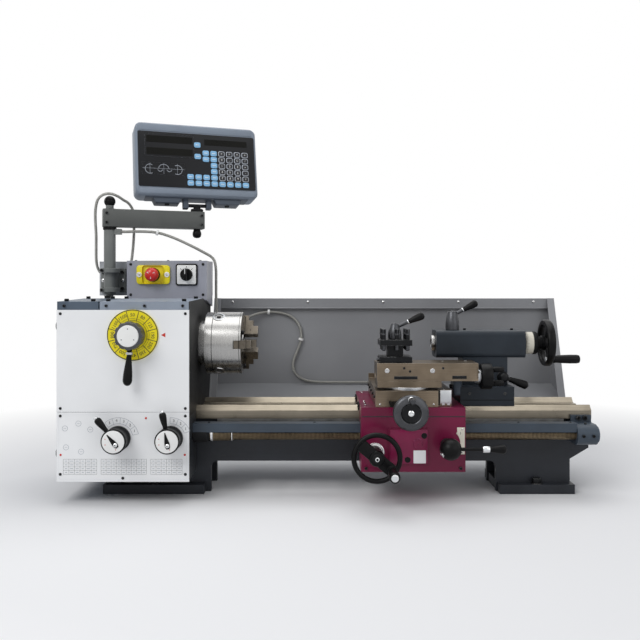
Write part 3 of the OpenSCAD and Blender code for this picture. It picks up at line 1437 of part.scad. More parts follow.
module quill() {
    x0 = barrel_x0 - quill_out;
    color("silver") difference() {
        xrod(quill_d, x0, x0 + quill_len, 0, spindle_z);
        xrod(tail_screw_d + 2 * run, x0 + over, x0 + quill_len + over, 0, spindle_z);
        xcone(socket_d, tail_screw_d, x0 - over / 2, x0 + quill_len / 2, 0, spindle_z);
    }
}
module tail_wheel() {
    x = barrel_x1 + tail_wheel_x;
    color([0.12, 0.12, 0.13]) {
        xrod(tail_dial_d, barrel_x1 + seat, barrel_x1 + 2 * tail_dial_t, 0, spindle_z);
        xrod(hub_d, barrel_x1 + tail_dial_t, x + tail_rim_d, 0, spindle_z);
        xrod(tail_screw_d, barrel_x0 + quill_len / 2, x, 0, spindle_z);
        translate([x + tail_rim_d / 2, 0, spindle_z]) rotate([0, 90, 0]) rotate_extrude()
            translate([tail_wheel_d / 2 - tail_rim_d / 2, 0]) circle(d = tail_rim_d);
        for (i = [0:2]) translate([x + tail_rim_d / 2, 0, spindle_z]) rotate([tail_spoke + i * 120, 0, 0])
            zrod(tail_rim_d * stem_share, 0, tail_wheel_d / 2 - tail_rim_d / 2, 0, 0);
        translate([x, 0, spindle_z]) rotate([tail_spoke, 0, 0])
            xrod(tail_grip_d, tail_rim_d / 2, tail_rim_d + tail_grip_len, 0,
                (tail_wheel_d - tail_rim_d) / 2);
    }
}
tail_spoke = 142;
socket_d = 18;
post_lean = 24;
lock_lean = 28;
clamp_lean = 20;
post_bolt_shares = [-1, 0.1];
knob_lobes = 12;
panel_screw_d = 7;
module lock_lever() {
    x = barrel_x0 + lock_x;
    z = spindle_z + barrel_up + seat;
    a = [x, 0, z + lock_h - lever_d];
    dir = [cos(lock_lean), 0, sin(lock_lean)];
    color([0.12, 0.12, 0.13]) {
        zrod(lever_d, z - seat - lock_stud, z + over, x, 0);
        translate([x, 0, z]) cylinder(h = lock_h, d1 = lock_d, d2 = lock_d * stem_share);
        bar(a, a + lock_lever_len * dir, lever_d * neck_share, lever_d * neck_share);
        bar(a + (lock_lever_len - grip_len / 2) * dir, a + lock_lever_len * dir,
            grip_d * grip_neck_share, grip_d * neck_share);
    }
}
module clamp_lever() {
    x = tail_x0 + tail_neck_x + tail_neck_len - clamp_hub_d / 2;
    z = bed_h + clamp_y;
    y = -tail_neck_w / 2 - seat;
    a = [x, y - clamp_hub_d / 2, z];
    dir = [cos(clamp_lean), 0, -sin(clamp_lean)];
    color([0.12, 0.12, 0.13]) {
        yrod(clamp_hub_d, y - clamp_hub_d, y, x, z);
        bar(a, a + clamp_lever_len * dir, lever_d * neck_share, lever_d * neck_share);
        bar(a + (clamp_lever_len - grip_len * stem_share) * dir, a + clamp_lever_len * dir,
            grip_d * grip_neck_share, grip_d * neck_share);
    }
}

bed();
rack();
headstock();
end_cover();
gear_door();
front_panels();
machine_screws();
feed_box();
electrics_box();
rear_plate();
control_plates();
motor();
drive_belt();
speed_dial();
dro_post();
splash_guard();
screw_cover();
end_bracket();
bearing_races();
cable_long();
cable_loops();
cable_ties();
spindle();
bearing_balls();
chuck_body();
chuck_scroll();
chuck_pinion();
jaw_1();
jaw_2();
jaw_3();
motor_pulley();
idler_gear();
lead_screw();
speed_lever();
feed_knob_left();
feed_knob_right();
stop_button();
switch_knob();
dro_arm();
dro_mount();
dro_housing();
dro_panel();
saddle();
apron();
apron_wheel();
rack_pinion();
nut_lever();
half_nut();
cross_slide();
cross_wheel();
swivel_base();
top_slide();
top_wheel();
tool_post();
post_lever();
tailstock();
quill();
tail_wheel();
lock_lever();
clamp_lever();
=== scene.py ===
"""Looks of the bench lathe: finishes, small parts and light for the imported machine.

Every size is in millimetres in the machine's own frame, and is scaled to metres
once, when a piece is finished.
"""

from __future__ import annotations

import logging
import math
from dataclasses import dataclass, replace
from enum import Enum

import bmesh
import bpy
from mathutils import Matrix, Vector
from mathutils.kdtree import KDTree


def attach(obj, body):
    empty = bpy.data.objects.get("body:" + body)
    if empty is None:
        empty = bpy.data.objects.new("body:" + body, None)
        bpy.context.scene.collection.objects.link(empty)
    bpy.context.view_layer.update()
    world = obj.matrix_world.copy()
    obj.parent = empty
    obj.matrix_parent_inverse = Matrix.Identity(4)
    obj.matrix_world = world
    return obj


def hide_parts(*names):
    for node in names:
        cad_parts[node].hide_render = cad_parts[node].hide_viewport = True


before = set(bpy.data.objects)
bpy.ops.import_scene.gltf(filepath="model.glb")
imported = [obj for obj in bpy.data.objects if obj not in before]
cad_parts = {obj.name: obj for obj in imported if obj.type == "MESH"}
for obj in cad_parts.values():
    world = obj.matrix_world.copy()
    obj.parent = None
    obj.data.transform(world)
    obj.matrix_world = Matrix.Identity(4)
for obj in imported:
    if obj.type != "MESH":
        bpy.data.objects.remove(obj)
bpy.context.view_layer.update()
MM = 0.001
LOG = logging.getLogger("lathe")
Point = tuple[float, float, float]
Outline = list[tuple[float, float]]
Socket = bpy.types.NodeSocket
Layers = tuple[object, object, object, object]
ORIGIN = Matrix.Identity(4)
ROUNDED_FROM, SHARP_FROM = math.radians(40), math.radians(38)
LEFT, RIGHT = Vector((-1, 0, 0)), Vector((1, 0, 0))
FRONT, BACK = Vector((0, -1, 0)), Vector((0, 1, 0))
UP, DOWN = Vector((0, 0, 1)), Vector((0, 0, -1))


def shift(x: float, y: float, z: float) -> Matrix:
    """Move a part without turning it."""
    return Matrix.Translation((x, y, z))


def spun(turn: float, axis: str = "Z") -> Matrix:
    """Turn a part about one axis, in degrees."""
    return Matrix.Rotation(math.radians(turn), 4, axis)


def aim(at: Point, along: Vector, turn: float = 0.0) -> Matrix:
    """Place a part that is built upwards so that it points along, with a turn in degrees."""
    lean = Vector(along).to_track_quat("Z", "Y").to_matrix().to_4x4()
    return Matrix.Translation(at) @ lean @ spun(turn)


def facing(at: Point) -> Matrix:
    """Place a flat drawing so that its x runs right, its y runs up and its z faces the operator."""
    return Matrix.Translation(at) @ spun(90, "X")


class Board:
    """The node tree of a material or a world, with short ways to add to it."""

    def __init__(self, owner: bpy.types.Material | bpy.types.World) -> None:
        """Empty the tree of a material or a world.

        Args:
            owner: The material or the world.
        """
        owner.use_nodes = True
        self.owner = owner
        self.nodes, self.links = owner.node_tree.nodes, owner.node_tree.links
        self.nodes.clear()
        self.coords = self.add("ShaderNodeTexCoord").outputs["Object"]

    def add(self, kind: str, feeds: dict | None = None, **settings: object) -> bpy.types.Node:
        """Add a node.

        Args:
            kind: The node's type.
            feeds: A value or a socket for each input, by name or number.
            **settings: The node's own options.

        Returns:
            The new node.
        """
        node = self.nodes.new(kind)
        for name, value in settings.items():
            setattr(node, name, value)
        for name, value in (feeds or {}).items():
            if isinstance(value, Socket):
                self.links.new(value, node.inputs[name])
            else:
                node.inputs[name].default_value = value
        return node

    def noise(self, size: float, stretch: Point = (1, 1, 1), detail: float = 3.0) -> Socket:
        """Add a cloudy pattern.

        Args:
            size: How wide its spots are, in millimetres.
            stretch: How often it repeats along each axis, against one.
            detail: How many finer layers it has.

        Returns:
            The socket with its strength.
        """
        place = self.add(
            "ShaderNodeMapping", {"Vector": self.coords, "Scale": stretch}).outputs["Vector"]
        feeds = {"Vector": place, "Scale": 1 / (size * MM), "Detail": detail}
        return self.add("ShaderNodeTexNoise", feeds).outputs["Fac"]

    def span(self, value: object, low: float, high: float, to_low: float, to_high: float) -> Socket:
        """Carry a value from one range, low to high, to another one."""
        feeds = {
            "Value": value, "From Min": low, "From Max": high, "To Min": to_low, "To Max": to_high}
        return self.add("ShaderNodeMapRange", feeds).outputs["Result"]

    def blend(self, share: object, first: object, second: object, colours: bool = True) -> Socket:
        """Blend two colours or two numbers.

        Args:
            share: How much of the second one there is.
            first: The first colour or number.
            second: The second one.
            colours: False for numbers.

        Returns:
            The socket with the blend.
        """
        kind, a, b, out = ("RGBA", 6, 7, 2) if colours else ("FLOAT", 2, 3, 0)
        node = self.add("ShaderNodeMix", data_type=kind)
        for slot, value in ((0, share), (a, first), (b, second)):
            if isinstance(value, Socket):
                self.links.new(value, node.inputs[slot])
            else:
                node.inputs[slot].default_value = value
        return node.outputs[out]

    def height(self, axis: str) -> Socket:
        """Read one coordinate of the surface, in metres."""
        return self.add("ShaderNodeSeparateXYZ", {"Vector": self.coords}).outputs[axis]

    def reckon(self, operation: str, *values: object) -> Socket:
        """Work out a number from others."""
        feeds = dict(enumerate(values))
        return self.add("ShaderNodeMath", feeds, operation=operation).outputs["Value"]

    def bump(self, height: object, depth: float, normal: object) -> Socket:
        """Lay a relief of a depth in millimetres on a surface."""
        feeds = {"Strength": 1.0, "Distance": depth * MM, "Height": height, "Normal": normal}
        return self.add("ShaderNodeBump", feeds).outputs["Normal"]


class Lay(Enum):
    """Which way the fine marks of a surface run."""

    EVEN = (1.0, 1.0, 1.0)
    ALONG_X = (0.02, 1.0, 1.0)
    ALONG_Y = (1.0, 0.02, 1.0)
    ROUND_X = (1.0, 0.03, 0.03)


def linear(colour: str, factor: float = 1.0) -> tuple[float, float, float, float]:
    """Turn a written colour into the renderer's numbers.

    Args:
        colour: Six hexadecimal digits.
        factor: How much lighter it gets.

    Returns:
        Red, green, blue and one.
    """
    parts = [int(colour[i : i + 2], 16) / 255 for i in (0, 2, 4)]
    plain = [p / 12.92 if p <= 0.04045 else ((p + 0.055) / 1.055) ** 2.4 for p in parts]
    return (*(min(1.0, p * factor) for p in plain), 1.0)


@dataclass(frozen=True)
class Finish:
    """One surface: paint, bare metal, plastic or film.

    Attributes:
        name: What the shop calls it.
        colour: Its colour, six hexadecimal digits.
        rough: How dull it is, from zero to one.
        metal: One for bare metal.
        coat: How much clear gloss lies on it.
        vary: How far its tone goes up and down.
        patch: How wide its tone's patches are.
        grain: How wide its fine relief is.
        relief: How deep that relief is.
        lay: Which way the relief runs.
        edge: How far its hard edges are softened.
        worn: The colour that shows where edges are rubbed; on black oxide and graphite it is partly
            a painted highlight.
        wear: How much of the edges is rubbed.
        dull: How much rougher its patches get.
        shine: How strongly paint or plastic mirrors.
    """

    name: str
    colour: str
    rough: float = 0.42
    metal: float = 0.0
    coat: float = 0.0
    vary: float = 0.1
    patch: float = 55.0
    grain: float = 1.6
    relief: float = 0.03
    lay: Lay = Lay.EVEN
    edge: float = 0.7
    worn: str = ""
    wear: float = 0.5
    dull: float = 0.12
    shine: float = 0.35

    def layers(self, board: Board) -> Layers:
        """Work out the surface's colour, roughness, metal and relief on a board.

        Args:
            board: Where its nodes go.

        Returns:
            The four sockets or numbers.
        """
        patches = board.noise(self.patch, detail=4.0)
        grain = board.noise(self.grain, self.lay.value)
        dark, light = linear(self.colour, 1 - self.vary), linear(self.colour, 1 + self.vary)
        tone = board.blend(board.span(patches, 0.35, 0.65, 0.0, 1.0), dark, light)
        if self.lay is not Lay.EVEN:
            streak = board.span(board.noise(self.grain * 3, self.lay.value), 0.35, 0.65, 0.0, 0.5)
            tone = board.blend(streak, tone, linear(self.colour, 1 - 2 * self.vary))
        low, high = max(0.03, self.rough - self.dull / 2), min(1.0, self.rough + self.dull / 2)
        rough = board.span(board.blend(0.5, patches, grain, colours=False), 0.35, 0.65, low, high)
        soft = board.add("ShaderNodeBevel", {"Radius": self.edge * MM}, samples=4).outputs["Normal"]
        relief = board.bump(grain, self.relief, soft)
        metal: object = self.metal
        if self.worn:
            rubbed = self.rubbed(board, patches)
            tone = board.blend(rubbed, tone, linear(self.worn))
            metal = board.blend(
                rubbed, self.metal, 1.0 if self.metal < 0.5 else self.metal, colours=False)
        return tone, rough, metal, relief

    def rubbed(self, board: Board, patches: object) -> Socket:
        """Find the outer edges, in broken stretches.

        Args:
            board: Where the nodes go.
            patches: The pattern that breaks the edges up.

        Returns:
            One where the finish is rubbed away.
        """
        wide = board.add("ShaderNodeBevel", {"Radius": 1.3 * MM}, samples=4).outputs["Normal"]
        flat = board.add("ShaderNodeNewGeometry").outputs["Normal"]
        turn = board.add(
            "ShaderNodeVectorMath", {0: wide, 1: flat}, operation="DOT_PRODUCT").outputs["Value"]
        edge = board.span(turn, 0.99, 0.86, 0.0, 1.0)
        broken = board.span(patches, 0.42, 0.6, 0.0, self.wear)
        return board.reckon("MULTIPLY", edge, broken)

    def shader(self, board: Board, layers: Layers) -> bpy.types.Material:
        """Close the board with one shader.

        Args:
            board: The board that holds the layers.
            layers: Colour, roughness, metal and relief.

        Returns:
            The finished material.
        """
        tone, rough, metal, relief = layers
        feeds = {"Base Color": tone, "Roughness": rough, "Metallic": metal, "Normal": relief}
        feeds |= {
            "Coat Weight": self.coat, "Coat Roughness": 0.12, "Specular IOR Level": self.shine}
        lit = board.add("ShaderNodeBsdfPrincipled", feeds)
        board.add("ShaderNodeOutputMaterial", {"Surface": lit.outputs["BSDF"]})
        board.owner.diffuse_color = linear(self.colour)
        return board.owner

    def title(self) -> str:
        """Name the material, apart from the record's own ones."""
        return f"look_{self.name}"

    def material(self) -> bpy.types.Material:
        """Give the finish's material, made once."""
        held = bpy.data.materials
        return held.get(self.title()) or self.make(Board(held.new(self.title())))

    def make(self, board: Board) -> bpy.types.Material:
        """Close the board with the finish's own layers."""
        return self.shader(board, self.layers(board))

    def ridged(self, board: Board, turns: object, depth: float, shade: tuple[float, float, float],
               dark: tuple[float, ...]) -> bpy.types.Material:
        """Close the board with even ridges on the surface, their grooves darkened as painted shade.

        Args:
            board: The board.
            turns: How far along the ridges a point is, in radians.
            depth: How deep the grooves are.
            shade: Where on the wave the shade starts and ends, and how strong it is.
            dark: The colour painted in the grooves as shade.

        Returns:
            The finished material.
        """
        tone, rough, metal, relief = self.layers(board)
        wave = board.reckon("SINE", turns)
        tone = board.blend(board.span(wave, *shade, 0.0), tone, dark)
        return self.shader(board, (tone, rough, metal, board.bump(wave, depth, relief)))


@dataclass(frozen=True)
class Banded(Finish):
    """A finish that turns into another beyond a level along one axis.

    Attributes:
        other: The finish beyond the level.
        axis: The axis that is measured.
        level: Where it changes.
        above: Whether the other finish lies above the level.
    """

    other: Finish | None = None
    axis: str = "Z"
    level: float = 0.0
    above: bool = True

    def make(self, board: Board) -> bpy.types.Material:
        """Close the board with both finishes.

        Args:
            board: The board.

        Returns:
            The finished material.
        """
        own, other = self.layers(board), self.other.layers(board)
        low, high = (self.level - 0.2) * MM, (self.level + 0.2) * MM
        ends = (0.0, 1.0) if self.above else (1.0, 0.0)
        share = board.span(board.height(self.axis), low, high, *ends)
        tone = board.blend(share, own[0], other[0])
        rough = board.blend(share, own[1], other[1], colours=False)
        metal = board.blend(share, own[2], other[2], colours=False)
        bend = board.add("ShaderNodeMix", {0: share, 4: own[3], 5: other[3]}, data_type="VECTOR")
        return self.shader(board, (tone, rough, metal, bend.outputs[1]))


@dataclass(frozen=True)
class Threaded(Finish):
    """Bare metal with a screw thread round an axis.

    Attributes:
        pitch: How far apart the turns are.
        depth: How deep they are cut.
        axis: The axis that the thread runs along.
    """

    pitch: float = 3.0
    depth: float = 0.8
    axis: str = "X"

    def make(self, board: Board) -> bpy.types.Material:
        """Close the board with the thread cut in, its grooves darkened as painted shade."""
        turns = board.reckon("MULTIPLY", board.height(self.axis), 2 * math.pi / (self.pitch * MM))
        return self.ridged(board, turns, self.depth, (-0.9, 0.2, 0.7), linear("141414"))


@dataclass(frozen=True)
class Ribbed(Finish):
    """The sleeve of an armoured cable, ribbed along its own length.

    Attributes:
        rib: How far apart the ribs are.
        length: The sleeve's length, along which its map runs from zero to one.
    """

    rib: float = 2.4
    length: float = 1000.0

    def title(self) -> str:
        """Name the material, one for each length."""
        return f"look_{self.name}_{round(self.length)}"

    def make(self, board: Board) -> bpy.types.Material:
        """Close the board with the ribs on it, the grooves between them darkened as painted shade.

        Args:
            board: The board.

        Returns:
            The finished material.
        """
        mapped = board.add("ShaderNodeUVMap", uv_map="along").outputs["UV"]
        along = board.add("ShaderNodeSeparateXYZ", {"Vector": mapped}).outputs["X"]
        turns = board.reckon("MULTIPLY", along, 2 * math.pi * self.length / self.rib)
        return self.ridged(board, turns, 0.5, (-1.0, 0.0, 0.6), linear(self.colour, 0.35))


GROUND = Finish(
    "ground_ways", "8F8779", 0.32, 1.0, vary=0.14, grain=0.5, relief=0.012, lay=Lay.ALONG_X,
    worn="D8CFC0")
CASTING = Finish(
    "bed_paint", "1F2226", 0.48, vary=0.16, grain=2.6, relief=0.16, worn="5A5E66", wear=0.25)
BED = Banded(
    "bed_and_ways", "24272D", 0.48, vary=0.16, grain=2.6, relief=0.16, other=GROUND, level=146.3)
# Beyond x = -293 the casting turns near black: painted shade on the headstock's right side.
HEAD = Banded(
    "head_casting", "8E97A4", 0.4, vary=0.06, grain=2.2, relief=0.05, worn="A9B2BD", wear=0.3,
    axis="X", level=-293.0,
    other=Finish("head_side_painted_shade", "090A0B", 0.6, shine=0.1, grain=2.2, relief=0.06))
COVER = Finish(
    "cover_paint", "4F5B69", 0.4, vary=0.07, grain=2.2, relief=0.05, worn="A3ADBA", wear=0.35)
PANEL = Finish(
    "panel_white", "F1F2F3", 0.34, vary=0.025, patch=130.0, grain=2.0, relief=0.015, worn="B9BEC4",
    wear=0.3)
PRINT = Finish("printed_black", "26282C", 0.5, vary=0.05, edge=0.2)
PRINT_PALE = Finish("printed_grey", "A9AEB6", 0.5, vary=0.05, edge=0.2)
PRINT_RED = Finish("printed_red", "C8382B", 0.45, vary=0.06, edge=0.2)
BOX_PAINT = Finish("box_paint", "9A9CA6", 0.38, vary=0.05, grain=1.8, worn="D2D4D8", wear=0.4)
PLATE_PAINT = Finish(
    "rear_plate_paint", "B4B7BC", 0.4, vary=0.05, grain=1.8, worn="D9DBDE", wear=0.4)
GUARD_PAINT = Finish(
    "guard_paint", "8D8E91", 0.36, vary=0.07, patch=160.0, grain=2.4, relief=0.04, worn="C7C8CA")
MOTOR_PAINT = Finish("motor_paint", "3C4046", 0.5, vary=0.14, grain=2.4, relief=0.12, worn="7B7F85")
# A lighter copy of the wine paint for the apron's raised cover plate and ring plug: painted light
# where they catch the lamp.
WINE_LIT = Finish(
    "wine_cover_painted_light", "7C1142", 0.36, coat=0.12, shine=0.3, vary=0.12, grain=3.0, relief=0.12,
    worn="B0608A")
WINE = Finish(
    "wine_paint", "6E0F38", 0.34, coat=0.12, shine=0.25, vary=0.14, grain=3.2, relief=0.14,
    worn="94405F", wear=0.3)
SADDLE = Banded(
    "saddle_paint", "6E0F38", 0.34, coat=0.12, shine=0.25, vary=0.14, grain=3.2, relief=0.14,
    worn="94405F", wear=0.3,
    other=Finish("saddle_ways", "2B2826", 0.4, 0.8, vary=0.14, grain=0.6, relief=0.012),
    level=179.0)
SLEEVE_BLUE = Finish(
    "screw_cover_paint", "3A444F", 0.42, vary=0.08, grain=2.2, relief=0.05, worn="6B7785", wear=0.3)
SLATE = Finish(
    "tailstock_paint", "2C3239", 0.36, shine=0.2, vary=0.12, grain=3.0, relief=0.12, worn="6C727C",
    wear=0.35)
STEEL = Finish(
    "turned_steel", "ACABA9", 0.26, 1.0, vary=0.08, grain=0.35, relief=0.01, lay=Lay.ROUND_X,
    worn="E2E2E2")
BRIGHT = Finish(
    "bright_steel", "CFCFCF", 0.2, 1.0, vary=0.07, grain=0.6, relief=0.006, worn="EDEDED")
TAN = Finish(
    "milled_steel", "7E7161", 0.34, 1.0, vary=0.14, patch=32.0, grain=0.5, relief=0.015,
    lay=Lay.ALONG_X, worn="D2C8BA")
HARD = Finish(
    "jaw_steel", "6E675D", 0.3, 1.0, vary=0.14, patch=18.0, grain=0.6, relief=0.015,
    lay=Lay.ALONG_Y, worn="D8D2C8")
# Black oxide and graphite get light rubbed edges: partly wear, partly painted highlight on
# bright-edged bolts and levers.
OXIDE = Finish(
    "black_oxide", "151618", 0.38, 0.3, shine=0.25, vary=0.18, patch=22.0, grain=0.8, relief=0.01,
    worn="8C8C8C", wear=0.7)
GRAPHITE = Finish(
    "graphite", "4B4C4F", 0.3, 0.75, vary=0.14, patch=26.0, grain=0.6, relief=0.01, worn="A0A1A3")
CHROME = Finish("chrome", "DADCDD", 0.09, 1.0, vary=0.04, grain=3.0, relief=0.003)
CUT = Finish(
    "cut_gear_steel", "A3A3A2", 0.34, 1.0, vary=0.12, patch=20.0, grain=0.6, relief=0.012,
    worn="D0D0D0")
BRASS = Finish(
    "brass", "B08D4A", 0.3, 1.0, vary=0.12, patch=20.0, grain=0.8, relief=0.01, worn="DDC68C")
ALU = Finish(
    "scale_aluminium", "C3C5C8", 0.32, 1.0, vary=0.06, grain=0.5, relief=0.01, lay=Lay.ALONG_Y,
    worn="E6E6E6")
BLACK = Finish(
    "black_plastic", "0B0B0C", 0.36, shine=0.14, vary=0.12, patch=20.0, grain=1.2, relief=0.012,
    worn="3A3B3D", wear=0.4)
MATT = Finish("matt_black", "0F1011", 0.62, shine=0.2, vary=0.14, patch=25.0, grain=1.0)
KNOB_GREY = Finish("knob_grey", "46474A", 0.38, vary=0.06, grain=1.2, relief=0.012, worn="A9AAAE")
WHITE = Finish("white_plastic", "ECECEA", 0.34, vary=0.03, relief=0.008)
IVORY = Finish("ivory_dial", "DAD5C6", 0.36, vary=0.04, relief=0.01)
YELLOW = Finish("yellow_plastic", "F2E022", 0.36, vary=0.05, patch=30.0, grain=1.4, relief=0.01)
RED = Finish("red_plastic", "D0201C", 0.24, coat=0.3, vary=0.06, patch=20.0, relief=0.006)
SHELL = Finish("display_shell", "7D8794", 0.42, vary=0.05, patch=70.0, grain=0.9, worn="97A1AE")
SHELL_DARK = Finish("display_underside", "4C545F", 0.46, vary=0.06, patch=70.0, grain=0.9)
FILM = Finish(
    "display_film", "151619", 0.36, shine=0.2, vary=0.06, patch=90.0, grain=0.8, relief=0.006)
GLASS = Finish("display_window", "0B0B08", 0.3, shine=0.12, patch=60.0, grain=4.0, relief=0.002)
KEY_BLUE = Finish("key_blue", "86B8DE", 0.42, vary=0.06, patch=10.0, grain=0.8, relief=0.01)
KEY_DARK = Finish("key_dark", "222327", 0.42, vary=0.06, patch=10.0, grain=0.8, relief=0.01)
LINE_PALE = Finish("outline_grey", "B9BFC8", 0.45, vary=0.04, grain=1.0, relief=0.004)
ARM = Finish("arm_paint", "747775", 0.4, vary=0.08, grain=2.0, relief=0.05, worn="9C9F9E")
ARM_DARK = Finish("arm_dark", "585A58", 0.42, vary=0.08, grain=2.0, relief=0.05, worn="7C7F7E")
RUBBER = Finish("belt_rubber", "1B1B1C", 0.7, vary=0.14, grain=1.2, relief=0.06)
SLEEVE = Ribbed("cable_sleeve", "B9B8B2", 0.36, 0.3, vary=0.08, edge=0.1)
LEAD = Threaded("lead_screw_steel", "9C8B70", 0.32, 1.0, grain=0.6, relief=0.008, pitch=2.5)
FEED = Threaded(
    "feed_screw_steel", "A3A19D", 0.3, 1.0, grain=0.6, relief=0.008, pitch=2.0, depth=0.5)


def as_mesh(drawn: bpy.types.Object) -> bpy.types.Mesh:
    """Turn a curve's or a text's object into a mesh.

    Args:
        drawn: The object, which is used up.

    Returns:
        The mesh.
    """
    bpy.context.scene.collection.objects.link(drawn)
    bpy.context.view_layer.update()
    graph = bpy.context.evaluated_depsgraph_get()
    data = bpy.data.meshes.new_from_object(drawn.evaluated_get(graph))
    bpy.data.objects.remove(drawn)
    return data


class Shape:
    """A piece under way: parts are built at the origin, rounded, put in place and collected."""

    def __init__(self) -> None:
        """Start with nothing."""
        self.mesh = bmesh.new()

    def take(self, part: bmesh.types.BMesh, place: Matrix, finish: int, edge: float = 0.0) -> None:
        """Round a part's hard edges and add it.

        Args:
            part: The part, which is used up.
            place: Where it goes.
            finish: The number of its finish on the piece.
            edge: The radius of its edges.
        """
        bmesh.ops.remove_doubles(part, verts=part.verts, dist=1e-4)
        bmesh.ops.recalc_face_normals(part, faces=part.faces)
        if edge > 0:
            hard = [e for e in part.edges if len(e.link_faces) == 2
                    and e.calc_face_angle() > ROUNDED_FROM]
            bmesh.ops.bevel(part, geom=hard, offset=edge, offset_type="OFFSET", segments=2,
                            profile=0.5, affect="EDGES", clamp_overlap=True, material=-1)
        part.transform(place)
        for face in part.faces:
            face.material_index = finish
            face.smooth = True
        held = bpy.data.meshes.new("part")
        part.to_mesh(held)
        part.free()
        self.mesh.from_mesh(held)
        bpy.data.meshes.remove(held)

    def box(self, low: Point, high: Point, finish: int = 0, edge: float = 0.6,
            place: Matrix = ORIGIN) -> None:
        """Add a block.

        Args:
            low: Its lowest corner.
            high: Its highest corner.
            finish: The number of its finish.
            edge: The radius of its edges.
            place: A further move of the whole block.
        """
        part = bmesh.new()
        bmesh.ops.create_cube(part, size=1.0)
        size = [b - a for a, b in zip(low, high)]
        middle = [(a + b) / 2 for a, b in zip(low, high)]
        bmesh.ops.scale(part, vec=size, verts=part.verts)
        self.take(part, place @ Matrix.Translation(middle), finish, edge)

    def turned(self, profile: Outline, place: Matrix, finish: int = 0, steps: int = 40) -> None:
        """Add a part from the lathe.

        Args:
            profile: Radius and height of each corner, from foot to top.
            place: Where its axis goes.
            finish: The number of its finish.
            steps: How many faces go round it.
        """
        part = bmesh.new()
        ring = [part.verts.new((radius, 0.0, height)) for radius, height in profile]
        lines = [part.edges.new(pair) for pair in zip(ring, ring[1:])]
        bmesh.ops.spin(part, geom=ring + lines, cent=(0, 0, 0), axis=(0, 0, 1), angle=2 * math.pi,
                       steps=steps, use_merge=True, use_duplicate=False)
        self.take(part, place, finish)

    def solid(self, wall: Outline, place: Matrix, finish: int = 0, steps: int = 40) -> None:
        """Add a part from the lathe by its side alone, closed by a flat foot and top."""
        self.turned([(0.0, wall[0][1]), *wall, (0.0, wall[-1][1])], place, finish, steps)

    def rod(self, start: Point, end: Point, radius: float, finish: int = 0, edge: float = 0.5,
            steps: int = 28) -> None:
        """Add a round bar between two points.

        Args:
            start: The middle of its foot.
            end: The middle of its top.
            radius: Its radius.
            finish: The number of its finish.
            edge: The radius of its end edges.
            steps: How many faces go round it.
        """
        along = Vector(end) - Vector(start)
        long, cut = along.length, min(edge, radius / 2, along.length / 3)
        foot = [(0.0, 0.0), (radius - cut, 0.0), (radius - cut * 0.3, cut * 0.3), (radius, cut)]
        rim = [(radius, long - cut), (radius - cut * 0.3, long - cut * 0.3), (radius - cut, long)]
        self.turned([*foot, *rim, (0.0, long)], aim(start, along), finish, steps)

    def grip(self, start: Point, end: Point, thin: float, thick: float, finish: int = 0) -> None:
        """Add a moulded handle that swells towards its rounded end.

        Args:
            start: The middle of its neck.
            end: The middle of its tip.
            thin: The radius of its neck.
            thick: Its largest radius.
            finish: The number of its finish.
        """
        along = Vector(end) - Vector(start)
        reach = along.length
        body = [(0.0, 0.0), (thin * 0.85, 0.0), (thin, reach * 0.03)]
        for k in range(1, 9):
            share = k / 8
            swell = math.sin(share * math.pi / 2) ** 1.4
            body.append((thin + (thick - thin) * swell, reach * (0.05 + 0.77 * share)))
        tip = reach * 0.82
        for k in range(1, 7):
            turn = k * math.pi / 12
            body.append((thick * math.cos(turn), tip + (reach - tip) * math.sin(turn)))
        self.turned([*body[:-1], (0.0, reach)], aim(start, along), finish, 24)

    def ball(self, centre: Point, radius: float, finish: int = 0) -> None:
        """Add a ball."""
        arc = [(radius * math.sin(k * math.pi / 14),
                -radius * math.cos(k * math.pi / 14)) for k in range(1, 14)]
        self.turned([(0.0, -radius), *arc, (0.0, radius)], Matrix.Translation(centre), finish, 28)

    def sheet(self, outline: Outline, thick: float, place: Matrix, finish: int = 0,
              edge: float = 0.0) -> None:
        """Add a flat part from its outline.

        Args:
            outline: Its corners, in order.
            thick: How far it rises.
            place: Where it lies.
            finish: The number of its finish.
            edge: The radius of its edges.
        """
        part = bmesh.new()
        face = part.faces.new([part.verts.new((x, y, 0.0)) for x, y in outline])
        grown = bmesh.ops.extrude_face_region(part, geom=[face])["geom"]
        raised = [v for v in grown if isinstance(v, bmesh.types.BMVert)]
        bmesh.ops.translate(part, vec=(0, 0, thick), verts=raised)
        self.take(part, place, finish, edge)

    def frame(self, wide: float, high: float, line: float, thick: float, place: Matrix,
              finish: int = 0, corner: float = 2.0) -> None:
        """Add a flat outline of a rectangle with rounded corners.

        Args:
            wide: Its width outside.
            high: Its height outside.
            line: How wide its line is.
            thick: How far it rises.
            place: Where its middle lies.
            finish: The number of its finish.
            corner: The radius of its corners.
        """
        part = bmesh.new()
        face = part.faces.new([part.verts.new((x, y, 0.0)) for x, y in rounded(wide, high, corner)])
        bmesh.ops.inset_region(
            part, faces=[face], thickness=line, use_even_offset=True, use_boundary=True)
        bmesh.ops.delete(part, geom=[face], context="FACES")
        grown = bmesh.ops.extrude_face_region(part, geom=part.faces[:])["geom"]
        raised = [v for v in grown if isinstance(v, bmesh.types.BMVert)]
        bmesh.ops.translate(part, vec=(0, 0, thick), verts=raised)
        self.take(part, place, finish)

    def socket_screw(
            self, at: Point, along: Vector, wide: float, finish: int = 0, dark: int = 0) -> None:
        """Add a cap screw with its hexagon socket.

        Args:
            at: The middle under its head.
            along: Where its head points.
            wide: The head's width.
            finish: The number of its finish.
            dark: The finish of the socket, dark as painted shade in the recess.
        """
        r, high = wide / 2, wide * 0.6
        wall = [(0.0, 0.0), (r * 0.96, 0.0), (r, r * 0.08), (r, high - r * 0.16), (r * 0.84, high),
                (r * 0.56, high)]
        self.turned(wall, aim(at, along), finish, 24)
